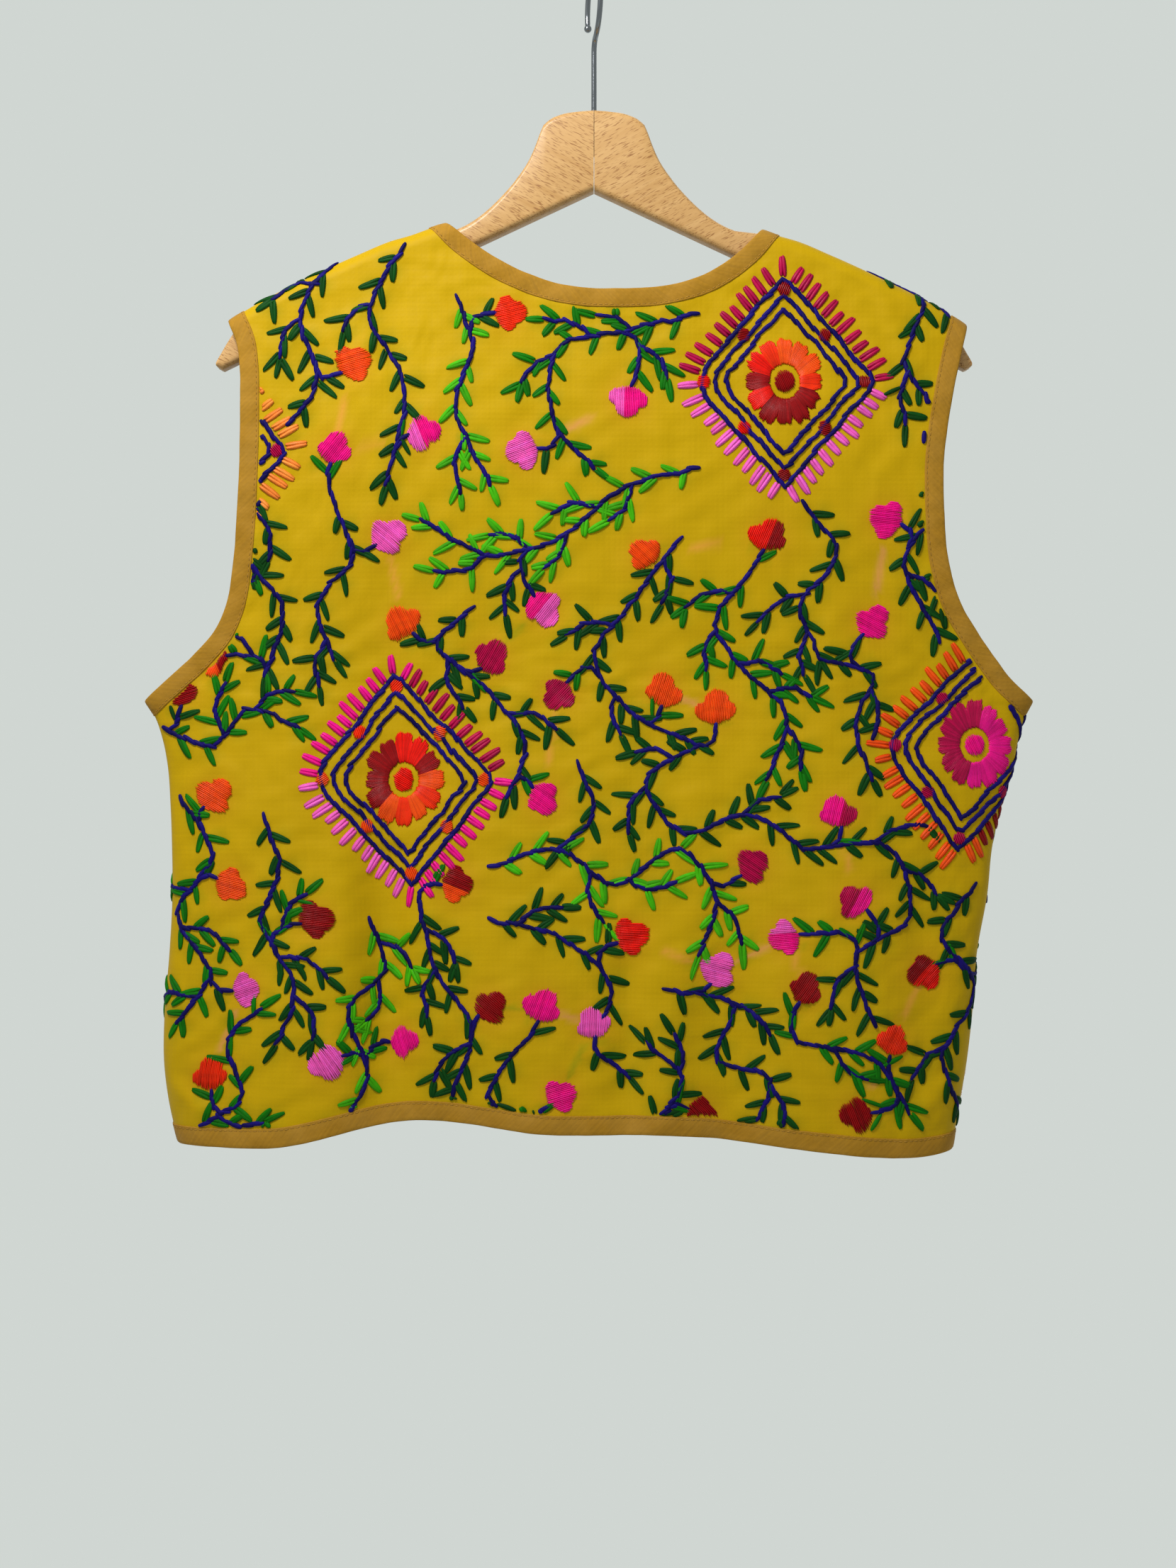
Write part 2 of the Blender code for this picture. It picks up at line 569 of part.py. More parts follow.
def material_of(name, colour, roughness, metallic=0.0):
    made = bpy.data.materials.new(name)
    made.use_nodes = True
    shader = made.node_tree.nodes["Principled BSDF"]
    shader.inputs["Base Color"].default_value = (*colour, 1)
    shader.inputs["Roughness"].default_value = roughness
    shader.inputs["Metallic"].default_value = metallic
    return made


def main():
    for obj in list(bpy.data.objects):
        bpy.data.objects.remove(obj, do_unlink=True)
    cotton = material_of("mustard_cloth", (.55, .36, .012), .65)
    tape = material_of("ochre_binding", (.40, .22, .03), .7)
    wood = material_of("beech", (.72, .45, .20), .45)
    chrome = material_of("bright_wire", (.75, .75, .77), .18, 1.0)
    panel("back", back_places(), cotton)
    panel("front_left", front_places(True), cotton)
    panel("front_right", front_places(False), cotton)
    neck_binding("binding_neck", tape)
    armhole_binding("binding_armhole_left", True, tape)
    armhole_binding("binding_armhole_right", False, tape)
    hem_binding("binding_hem", tape)
    arms = [wood_half("hanger_left", True, wood), wood_half("hanger_right", False, wood)]
    stem_bottom = hook("hanger_hook", chrome)
    bore_for(stem_bottom, arms)


main()
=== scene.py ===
"""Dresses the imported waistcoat: thin embroidered cloth with bound edges, a beech hanger and its wire hook.

The cloth takes the form of its solids. A place on it is an angle round the section and a way over from the
shoulder line, which is below zero at the front. The chart of the embroidery is in millimetres: x, and the
drop below the top of the wood, as seen from the back.
"""

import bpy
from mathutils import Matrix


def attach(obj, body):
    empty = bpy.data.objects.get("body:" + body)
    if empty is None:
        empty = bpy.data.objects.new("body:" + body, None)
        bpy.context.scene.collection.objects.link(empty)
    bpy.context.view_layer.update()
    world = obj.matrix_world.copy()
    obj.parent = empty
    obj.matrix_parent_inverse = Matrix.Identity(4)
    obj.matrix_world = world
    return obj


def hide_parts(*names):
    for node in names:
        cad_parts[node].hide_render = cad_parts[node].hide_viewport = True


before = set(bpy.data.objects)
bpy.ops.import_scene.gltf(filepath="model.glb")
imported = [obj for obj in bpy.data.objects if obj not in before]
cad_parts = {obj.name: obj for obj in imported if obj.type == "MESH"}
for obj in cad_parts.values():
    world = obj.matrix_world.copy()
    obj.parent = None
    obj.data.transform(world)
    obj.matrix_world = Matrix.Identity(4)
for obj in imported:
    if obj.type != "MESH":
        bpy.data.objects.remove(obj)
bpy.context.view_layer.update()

import math

import bmesh
import bpy
import numpy as np
from mathutils import Vector

bl_info = {
    "name": "Embroidered Waistcoat",
    "version": (1, 0, 0),
    "blender": (4, 5, 0),
    "location": "View3D > Sidebar > Waistcoat",
    "description": "Builds the cloth, embroidery, bindings, hanger and stage of an embroidered waistcoat",
    "category": "Object",
}

# Driving sizes of the hanger
HOOK_RISE = 0.083            # hook's crown, inside, above the top of the wood
WOOD_THICKNESS = 0.013
WOOD_EDGE_ROUND = 0.004
WOOD_BELOW_SHOULDER = 0.0033  # top of the wood under the cloth's outer shoulder line
WOOD_JOINT_GAP = 0.0003
WIRE_RADIUS = 0.0016
HOOK_RADIUS = 0.0216         # centre line of the loop
HOOK_BEND_RADIUS = 0.008     # where the loop joins the stem
HOOK_END_ANGLE = math.radians(71)   # from the loop's lowest point to the free end
HOOK_TURN = math.radians(10)        # the loop stands across the wood, turned this much from square
HOOK_BALL = 1.3              # end of the wire against the wire
HOOK_SOCKET = 0.026          # length of wire inside the wood

# Driving sizes of the waistcoat
BINDING_WIDTH = 0.0110
TUCK = 0.0025                # cloth that runs on inside the bindings
SHOULDER_RADIUS = 0.010      # the cloth's bend over the top of the wood
SECTION_FULLNESS = 0.35      # 0 is an ellipse, more is flatter with tighter side folds
SIDE_EASE = 0.02             # how softly the bend over the wood fades into the side folds
BEND_FADE_DROP = 0.150       # and where it starts to fade into the body below
NECK_CENTRE = 0.006
NECK_HALF_WIDTH = 0.092
BACK_NECK_FALL = 0.038
BACK_NECK_ROUND_LEFT, BACK_NECK_ROUND_RIGHT = 2.1, 3.2
FRONT_NECK_DROP = 0.240
FRONT_NECK_CURVE = 1.35
FRONT_MIDDLE = -0.002        # x of the gap between the fronts
FRONT_GAP = 0.012
SHOULDER_TIP_LEFT, SHOULDER_TIP_RIGHT = -0.213, 0.217
UNDERARM_DROP = 0.344
HEM_DROP = 0.600             # of the hem on average
SEAM_TURN = 0.030            # an edge's seam turns to the shoulder line over this last stretch

# Mesh divisions, as shares of a seam's length
NECK_COLUMNS = np.interp(np.linspace(0, 9, 46), range(10), (0, .20, .40, .58, .74, .86, .915, .945, .972, 1))
SHOULDER_COLUMNS = 46
UPPER_ROWS = np.interp(np.linspace(0, 17, 103), range(18),
                       (0, .03, .07, .12, .19, .28, .38, .48, .58, .68, .77, .85, .905, .938, .954, .970,
                        .985, 1))
LOWER_ROWS = 88
COLUMNS = len(NECK_COLUMNS) - 1 + SHOULDER_COLUMNS

# The shoulder line that the cloth takes over the wood: distance from the middle, drop
SHOULDER_X = (0, .060, .092, .107, .119, .137, .154, .167, .190, .203, .216, .262)
SHOULDER_DROP = (.060, .061, .0672, .0725, .0760, .0836, .0912, .0975, .1090, .1165, .1250, .1650)

# The hanging tube of cloth below the arms: drop, x of the left side fold and of the right one
BODY_DROP = (.344, .352, .367, .381, .405, .430, .456, .490, .527, .556, .584, .604)
BODY_LEFT = (-.262, -.257, -.2517, -.2490, -.2472, -.2463, -.2460, -.2476, -.2505, -.2505, -.2463, -.2410)
BODY_RIGHT = (.256, .252, .2476, .2450, .2375, .2323, .2296, .2235, .2205, .2170, .2120, .2087)

# Half depth of the whole garment beyond the bend over the wood: drop, half depth
DEPTH_DROP = (.060, .110, .150, .230, .344, .430, .520, .604)
HALF_DEPTH = (0, .001, .003, .008, .014, .021, .029, .035)

# Edge of each armhole between the shoulder tip and the underarm: drop, x on the left, x on the right
ARMHOLE_DROP = (.137, .150, .173, .205, .235, .265, .290, .304, .318, .331)
ARMHOLE_LEFT = (-.207, -.205, -.2046, -.205, -.2065, -.209, -.2135, -.220, -.2325, -.247)
ARMHOLE_RIGHT = (.214, .211, .2065, .2023, .2025, .2055, .2135, .222, .2315, .2415)

# Lower edge: x, drop at the back, drop at the fronts
HEM_X = (-.241, -.175, -.127, -.100, -.070, -.030, .045, .118, .198, .209)
HEM_BACK_DROP = (.600, .598, .588, .5845, .586, .591, .5925, .600, .605, .6036)
HEM_FRONT_DROP = (.600, .597, .594, .593, .594, .596, .595, .593, .601, .6036)

# Wood, one half: distance from the middle and drop of the top edge by the hook and at the tip, and of the
# lower edge
WOOD_NECK_X = (0, .0100, .0199, .0265, .0304, .0324, .0364, .0447, .0546, .0646, .0746, .0820)
WOOD_NECK_DROP = (0, .0008, .0027, .0060, .0103, .0160, .0260, .0393, .0509, .0602, .0669, .0702)
WOOD_ARM_START, WOOD_ARM_END, WOOD_ARM_SECTIONS = .096, .200, 8
WOOD_TIP_X = (.2090, .2150, .2185, .2197)
WOOD_TIP_DROP = (.1283, .1378, .1444, .1474)
WOOD_UNDER_X = (0, .0900, .2165, .2197)
WOOD_UNDER_DROP = (.0470, .0891, .1515, .1492)

BACK, FRONT = -1, 1

# Largest soft folds: x and drop where each starts, x at the hem, width, and height there
FOLDS = (
    dict(side=BACK, x=-.165, drop=.20, hem_x=-.172, width=.034, height=.0065),
    dict(side=BACK, x=-.125, drop=.18, hem_x=-.103, width=.026, height=-.0085),
    dict(side=BACK, x=-.050, drop=.30, hem_x=-.036, width=.026, height=.0035),
    dict(side=BACK, x=.060, drop=.36, hem_x=.078, width=.024, height=-.0060),
    dict(side=BACK, x=.150, drop=.20, hem_x=.140, width=.036, height=.0060),
    dict(side=FRONT, x=-.140, drop=.20, hem_x=-.150, width=.034, height=.0070),
    dict(side=FRONT, x=-.100, drop=.26, hem_x=-.085, width=.028, height=-.0070),
    dict(side=FRONT, x=.085, drop=.28, hem_x=.075, width=.030, height=-.0065),
    dict(side=FRONT, x=.140, drop=.20, hem_x=.135, width=.034, height=.0065),
)


def smooth(at, xs, ys):
    """Smooth curve through a table, held level past its ends."""
    xs, ys = np.asarray(xs, float), np.asarray(ys, float)
    at = np.clip(at, xs[0], xs[-1])
    slopes = np.gradient(ys, xs)
    i = np.clip(np.searchsorted(xs, at) - 1, 0, len(xs) - 2)
    span = xs[i + 1] - xs[i]
    t = (at - xs[i]) / span
    return ((1 + 2 * t) * (1 - t) ** 2 * ys[i] + t * (1 - t) ** 2 * span * slopes[i]
            + t ** 2 * (3 - 2 * t) * ys[i + 1] + t ** 2 * (t - 1) * span * slopes[i + 1])


def ease(t):
    """0 to 1 with level ends."""
    t = np.clip(t, 0, 1)
    return t * t * (3 - 2 * t)


def unit(vectors):
    """The same directions, one long."""
    return vectors / np.linalg.norm(vectors, axis=-1, keepdims=True)


def shoulder_drop(x):
    """Drop of the shoulder line at this x."""
    return smooth(np.abs(x), SHOULDER_X, SHOULDER_DROP)


def body_middle_and_half(drop):
    """Middle and half width of the hanging tube at this drop."""
    left, right = smooth(drop, BODY_DROP, BODY_LEFT), smooth(drop, BODY_DROP, BODY_RIGHT)
    return (left + right) / 2, (right - left) / 2


def across(angle):
    """Share of the half width reached at this angle round the section."""
    return np.sin(angle) * (1 + SECTION_FULLNESS * np.cos(angle) ** 2)


def angle_at(x, drop):
    """Angle round the section at which the cloth has this x."""
    middle, half = body_middle_and_half(drop)
    angles = np.linspace(-math.pi / 2, math.pi / 2, 2881)
    return np.interp((x - middle) / half, across(angles), angles)


def shoulder_drop_at(angle):
    """Drop of the shoulder line above this angle of the section."""
    middle, half = body_middle_and_half(UNDERARM_DROP)
    return shoulder_drop(middle + half * across(angle))


def below_from_over(over):
    """Height below the shoulder line, for a way along the cloth from it."""
    turn = np.minimum(over / SHOULDER_RADIUS, math.pi / 2)
    return SHOULDER_RADIUS * (1 - np.cos(turn)) + np.maximum(over - SHOULDER_RADIUS * math.pi / 2, 0)


def over_from_below(below):
    """Way along the cloth from the shoulder line, for a height below it."""
    below = np.maximum(below, 0)
    bend = SHOULDER_RADIUS * np.arccos(np.clip(1 - below / SHOULDER_RADIUS, -1, 1))
    return np.where(below < SHOULDER_RADIUS, bend, below + SHOULDER_RADIUS * (math.pi / 2 - 1))


def fold_relief(x, drop, side):
    """How far the soft folds push the cloth outwards."""
    total = np.zeros_like(x)
    for fold in FOLDS:
        fall = np.clip((drop - fold["drop"]) / (HEM_DROP - fold["drop"]), 0, 1.02)
        line = fold["x"] + (fold["hem_x"] - fold["x"]) * fall
        bump = fold["height"] * np.exp(-((x - line) / fold["width"]) ** 2) * ease(fall)
        total += np.where(side == fold["side"], bump, 0)
    return total


def cloth(angle, over, side):
    """Outer surface of the garment. angle runs from -90 degrees at the left side fold to 90 at the right one,
    and over is the way down from the shoulder line; below zero it is on the other side."""
    side = np.where(over < 0, -side, side)
    drop = shoulder_drop_at(angle) + below_from_over(np.abs(over))
    middle, half = body_middle_and_half(drop)
    x = middle + half * across(angle)
    facing = np.cos(angle)
    bend = SHOULDER_RADIUS * np.sin(np.minimum(np.abs(over) / SHOULDER_RADIUS, math.pi / 2))
    fade = 1 - ease((drop - BEND_FADE_DROP) / (UNDERARM_DROP - BEND_FADE_DROP))
    bend = bend * facing / np.sqrt(facing ** 2 + SIDE_EASE) * fade
    body = facing * (1 + SECTION_FULLNESS * np.sin(angle) ** 2) * smooth(drop, DEPTH_DROP, HALF_DEPTH)
    face = np.where(facing < 0, -side, side)
    relief = fold_relief(x, drop, face) * ease(np.abs(facing) * 1.6) * np.sign(facing)
    creases = crease_relief(x, drop, face) * ease(np.abs(facing) * 1.6) * np.sign(facing)
    creases = creases * ease(np.abs(over) / .030)
    return np.stack([x, side * (bend + body + relief + creases), -(HOOK_RISE + drop)], -1)


def surface(places, side, depth=0.0):
    """Points of the garment at places of angle and way over, at this depth below the outer surface."""
    angle, over = places[..., 0], places[..., 1]
    step = 1e-4
    along = cloth(angle + step, over, side) - cloth(angle - step, over, side)
    down = cloth(angle, over + step * .2, side) - cloth(angle, over - step * .2, side)
    return cloth(angle, over, side) - unit(np.cross(along, down)) * side * np.asarray(depth)[..., None]


def flattened(xs, drops):
    """Points at these x and drops, on the flattened cloth."""
    xs, drops = np.broadcast_arrays(np.asarray(xs, float), np.asarray(drops, float))
    return np.stack([xs, shoulder_drop(xs) + over_from_below(drops - shoulder_drop(xs))], -1)


def on_cloth(flat, side=BACK):
    """Points of the flattened cloth as angle and way over. At the front, over is below zero."""
    x = flat[..., 0]
    drop = shoulder_drop(x) + below_from_over(np.maximum(flat[..., 1] - shoulder_drop(x), 0))
    angle = angle_at(x, drop)
    return np.stack([angle, -side * over_from_below(drop - shoulder_drop_at(angle))], -1)


def resampled(line, shares):
    """The same line with points at these shares of its length."""
    way = np.concatenate([[0], np.cumsum(np.linalg.norm(np.diff(line, axis=0), axis=1))])
    return np.stack([np.interp(np.asarray(shares) * way[-1], way, line[:, k]) for k in (0, 1)], -1)


def seam_beside(edge, distance, turn):
    """Line this far inside an edge: square to it, but along the shoulder line where it crosses that.
    turn is 1 where the cloth lies to the right of the edge's travel, -1 where it lies to the left."""
    run = unit(np.gradient(edge, axis=0))
    sideways = np.stack([-run[:, 1], run[:, 0]], -1) * turn
    slope = (shoulder_drop(edge[:, 0] + .001) - shoulder_drop(edge[:, 0] - .001)) / .002
    along = unit(np.stack([np.ones_like(slope), slope], -1)) * np.sign(sideways[:, :1])
    near = ease(1 - (edge[:, 1] - shoulder_drop(edge[:, 0])) / SEAM_TURN)[:, None]
    line = edge + unit(sideways * (1 - near) + along * near) * distance
    line[:, 1] = np.maximum(line[:, 1], shoulder_drop(line[:, 0]))
    return line


def armhole_edge(left):
    """Edge of one armhole on the flattened cloth, from the underarm up to the shoulder tip."""
    tip, xs, fold = ((SHOULDER_TIP_LEFT, ARMHOLE_LEFT, BODY_LEFT[0]) if left
                     else (SHOULDER_TIP_RIGHT, ARMHOLE_RIGHT, BODY_RIGHT[0]))
    tip_drop = float(shoulder_drop(tip))
    drops = np.linspace(UNDERARM_DROP, tip_drop, 600)
    xs = smooth(drops, (tip_drop, *ARMHOLE_DROP, UNDERARM_DROP), (tip, *xs, fold))
    return resampled(flattened(xs, drops), UPPER_ROWS)


def armhole_seam(left, extra=0.0):
    """Line where the cloth goes under one armhole's binding, or this much further in."""
    distance = BINDING_WIDTH + extra
    edge = armhole_edge(left)
    line = seam_beside(edge, distance, 1 if left else -1)
    line[0] = edge[0] + (0, chest_drop(extra) - UNDERARM_DROP)
    line[-1, 1] = shoulder_drop(line[-1, 0])
    return line


def neck_point(left):
    """Where the neckline meets the shoulder line on one side, as x and drop."""
    x = NECK_CENTRE + (-NECK_HALF_WIDTH if left else NECK_HALF_WIDTH)
    return x, float(shoulder_drop(x))


def back_neck_edge():
    """Back neckline from the left neck point to the right one."""
    shares = np.linspace(-1, 1, 801)
    (_, left_drop), (_, right_drop) = neck_point(True), neck_point(False)
    bottom = (left_drop + right_drop) / 2 + BACK_NECK_FALL
    power = np.where(shares < 0, BACK_NECK_ROUND_LEFT, BACK_NECK_ROUND_RIGHT)
    drop = bottom - (bottom - np.where(shares < 0, left_drop, right_drop)) * np.abs(shares) ** power
    line = flattened(NECK_CENTRE + NECK_HALF_WIDTH * shares, drop)
    halves = resampled(line[:401][::-1], NECK_COLUMNS), resampled(line[400:], NECK_COLUMNS)
    return np.concatenate([halves[0][::-1], halves[1][1:]])


def front_neck_edge(left):
    """Front neckline from the front edge up to the neck point."""
    start = FRONT_MIDDLE + (-FRONT_GAP / 2 if left else FRONT_GAP / 2)
    x, drop = neck_point(left)
    up = np.linspace(1, 0, 600)
    return resampled(flattened(x + (start - x) * up ** FRONT_NECK_CURVE,
                               drop + (FRONT_NECK_DROP - drop) * up),
                     NECK_COLUMNS)


def back_neck_seam(extra=0.0):
    """Line where the back goes under the neck's binding, or this much further in."""
    line = seam_beside(back_neck_edge(), BINDING_WIDTH + extra, 1)
    line[[0, -1], 1] = shoulder_drop(line[[0, -1], 0])
    return line


def front_neck_seam(left, extra=0.0):
    """The same for one front."""
    edge = front_neck_edge(left)
    line = seam_beside(edge, BINDING_WIDTH + extra, -1 if left else 1)
    line[0] = (front_edge_x(left, BINDING_WIDTH + extra), edge[0, 1] + (BINDING_WIDTH + extra) * .6)
    line[-1] = back_neck_seam(extra)[0 if left else -1]
    return line


def front_edge_x(left, inside=0.0):
    """x of one front's edge, or of a line this far inside it."""
    away = FRONT_GAP / 2 + inside
    return FRONT_MIDDLE + (-away if left else away)


def hem_drop(angles, side, rise):
    """Drop of a line this far above the hem, at each angle of the section."""
    middle, half = body_middle_and_half(HEM_DROP)
    drops = HEM_BACK_DROP if side == BACK else HEM_FRONT_DROP
    return smooth(middle + half * across(angles), HEM_X, drops) - rise


def back_angles():
    """Angles of the back's columns, closer together towards its side folds."""
    half = np.linspace(0, math.pi / 2, COLUMNS + 1)
    half = half * (half / half[-1]) ** .2
    return np.concatenate([-half[::-1], half[1:]])


def front_angles(left, drop, inside):
    """Angles from one front's edge, or a line this far inside it, out to its side fold."""
    start = angle_at(front_edge_x(left, inside), drop)
    end = -math.pi / 2 if left else math.pi / 2
    return start + (end - start) * np.linspace(0, 1, COLUMNS + 1) ** .92


def chest_drop(extra=0.0):
    """Drop of the seam below the underarm."""
    return UNDERARM_DROP + BINDING_WIDTH * .8 + extra


def lower_rows(side, angles_at):
    """Places from the hem's seam up to the chest line, row by row.

    angles_at gives a row's angles at its drop."""
    rows = []
    hem_seam, chest = HEM_DROP - BINDING_WIDTH, chest_drop(-TUCK)
    for share in np.linspace(0, 1, LOWER_ROWS + 1)[:-1]:
        angles = angles_at(hem_seam + (chest - hem_seam) * share)
        hem = hem_drop(angles, side, BINDING_WIDTH - TUCK)
        drop = hem + (chest - hem) * share
        rows.append(np.stack([angles, -side * over_from_below(drop - shoulder_drop_at(angles))], -1))
    return np.array(rows)


def blended(bottom, top, first, last):
    """Grid of flat points inside four edges, which share their corners."""
    w = np.asarray(UPPER_ROWS)[:, None, None]
    shares = [(line[:, :1] - line[0, 0]) / (line[-1, 0] - line[0, 0]) for line in (bottom, top)]
    s = (1 - w) * shares[0] + w * shares[1]
    bow_first = first[:, None] - (1 - w) * bottom[0] - w * top[0]
    bow_last = last[:, None] - (1 - w) * bottom[-1] - w * top[-1]
    return (1 - w) * bottom + w * top + (1 - s) * bow_first + s * bow_last


def chest_line(angles, extra):
    """Line across the cloth at the underarms, where the two parts of a panel meet."""
    middle, half = body_middle_and_half(chest_drop(extra))
    return flattened(middle + half * across(angles), chest_drop(extra))


def shoulder_line(start, end):
    """Points on the shoulder line after start, up to end."""
    xs = np.linspace(start[0], end[0], SHOULDER_COLUMNS + 1)[1:]
    return np.stack([xs, shoulder_drop(xs)], -1)


def back_places():
    """Places over the whole back, from the hem up to the neck and the shoulders."""
    left, right = armhole_seam(True, -TUCK), armhole_seam(False, -TUCK)
    neck = back_neck_seam(-TUCK)
    top = np.concatenate([shoulder_line(neck[0], left[-1])[::-1], neck, shoulder_line(neck[-1], right[-1])])
    chest = chest_line(back_angles(), -TUCK)
    left[0], right[0] = chest[0], chest[-1]
    upper = blended(chest, top, left, right)
    return np.concatenate([lower_rows(BACK, lambda drop: back_angles()), on_cloth(upper)])


def front_places(left):
    """Places over one front, from the hem up, each row from its front edge out to the side."""
    inside = BINDING_WIDTH - TUCK
    side_seam = armhole_seam(left, -TUCK)
    neck = front_neck_seam(left, -TUCK)
    top = np.concatenate([neck, shoulder_line(neck[-1], side_seam[-1])])
    chest = chest_line(front_angles(left, chest_drop(), inside), -TUCK)
    edge = chest[0] + (top[0] - chest[0]) * np.asarray(UPPER_ROWS)[:, None]
    side_seam[0] = chest[-1]
    upper = blended(chest, top, edge, side_seam)
    lower = lower_rows(FRONT, lambda drop: front_angles(left, drop, inside))
    return np.concatenate([lower, on_cloth(upper, FRONT)])


def crease_relief(x, drop, side):
    """How far the fine creases and the puckers of the sewing push the cloth outwards."""
    total = np.zeros_like(x)
    for face, rows in CREASES.items():
        for x0, drop0, x1, drop1, width, height in np.array(rows) / 1000:
            run = np.array([x1 - x0, drop1 - drop0])
            length = np.linalg.norm(run)
            along = ((x - x0) * run[0] + (drop - drop0) * run[1]) / length
            aside = ((x - x0) * run[1] - (drop - drop0) * run[0]) / length
            fade = ease(np.minimum(along + width, length + width - along) / (length * .3 + width))
            total += np.where(side == face, height * np.exp(-(aside / width) ** 2) * fade, 0)
    for reach, height, turn in ((.031, .00052, .4), (.019, .00032, 1.9), (.012, .00017, 1.1)):
        sweep = (x * math.cos(turn) + drop * math.sin(turn)) / reach * math.tau
        cross = (drop * math.cos(turn) - x * math.sin(turn)) / reach * 3.9
        wave = np.sin(sweep + 1.7 * np.sin(cross * .6 + side))
        total += height * wave * np.sin(cross + 1.3 * np.sin(sweep * .4))
    return total


# Dyed threads
NAVY = "#150a66"
LEAF_GREENS = {"dark": "#0b4410", "mid": "#127008", "bright": "#44ae0a"}
THREADS = {"pink": "#ff62c6", "magenta": "#fb0c8e", "crimson": "#b80048", "dark_red": "#980208",
           "red": "#f41402", "red_orange": "#ff3204", "orange": "#ff5208",
           "amber": "#ff8a34"}

# Half width and half height of a medallion
MEDALLION_HALF = (53, 61)

# Where the stems may run, in millimetres of the chart
STEM_STEP = 4                # between the points of a stem
SPRIG_STEPS = 6              # of these from one sprig to the next
SPRIG_LENGTHS = (22, 34)
STEM_GAP = 9                 # clear of other stems, and of the medallions
BUD_GAP = 14                 # clear of the blossoms
ON_STEM = 11                 # a blossom so near a main stem needs none of its own
BUD_STEM_REACH = (18, 75)    # from a main stem to a blossom
BUD_STEM_END = 8             # short of the blossom's middle

# Stitches, in metres: height and lift, and what keeps them off the medallions
STEM_HEIGHT, STEM_LIFT = 0.00078, 0.00050
LEAF_HEIGHT, LEAF_LIFT = 0.00075, 0.00042
SATIN_HEIGHT, SATIN_LIFT = 0.00042, 0.00030
PETAL_HEIGHT, PETAL_LIFT = 0.00060, 0.00045
FRINGE_WIDTH, FRINGE_HEIGHT, FRINGE_LIFT = 0.0028, 0.00075, 0.00040
STITCH_DOME = 0.00055        # how much a blossom's middle stands up
DOT_DOME = 0.0008
SHORTEST_STITCH = 0.0012
STEMS_CLEAR, LEAVES_CLEAR = 0.010, 0.014

# What shows through the cloth: reach in metres, strength and colour
BEHIND_LEAF = (0.0052, .30, "#77800a")
BEHIND_BLOSSOM = (0.0135, .35, "#c98a18")
BEHIND_THREAD = (0.0022, .42)

# Diamond outlines of a medallion, as shares of the outer one
DIAMOND_SHARES = (1, .84, .70)

# Medallions on the back: middle, how far the top leans to the right, and the colours of the fringe on
# each side, of the dots and of the petals from the top to the right
MEDALLIONS = (
    dict(centre=(110, 160), lean=0,
         fringe=("crimson", "pink", "pink", "crimson"),
         dots=("dark_red", "dark_red", "dark_red", "red"), heart="dark_red",
         petals=("orange", "orange", "orange", "red_orange", "dark_red", "dark_red", "dark_red", "dark_red",
                 "red", "dark_red", "red", "red_orange")),
    dict(centre=(-110, 390), lean=-5,
         fringe=("crimson", "magenta", "pink", "magenta"),
         dots=("red_orange", "orange", "orange", "orange"), heart="red",
         petals=("red", "red", "dark_red", "orange", "red_orange", "orange", "red_orange", "orange",
                 "dark_red", "dark_red", "dark_red", "dark_red")),
    dict(centre=(220, 370), lean=10,
         fringe=("crimson", "dark_red", "orange", "orange"),
         dots=("crimson", "magenta", "crimson", "crimson"), heart="magenta",
         petals=("crimson", "magenta", "magenta", "magenta", "magenta", "magenta", "magenta", "crimson",
                 "crimson", "crimson", "crimson", "crimson")),
    dict(centre=(-230, 200), lean=0,
         fringe=("amber", "amber", "amber", "amber"),
         dots=("crimson", "crimson", "crimson", "crimson"), heart="pink",
         petals=("crimson", "magenta") * 6),
)

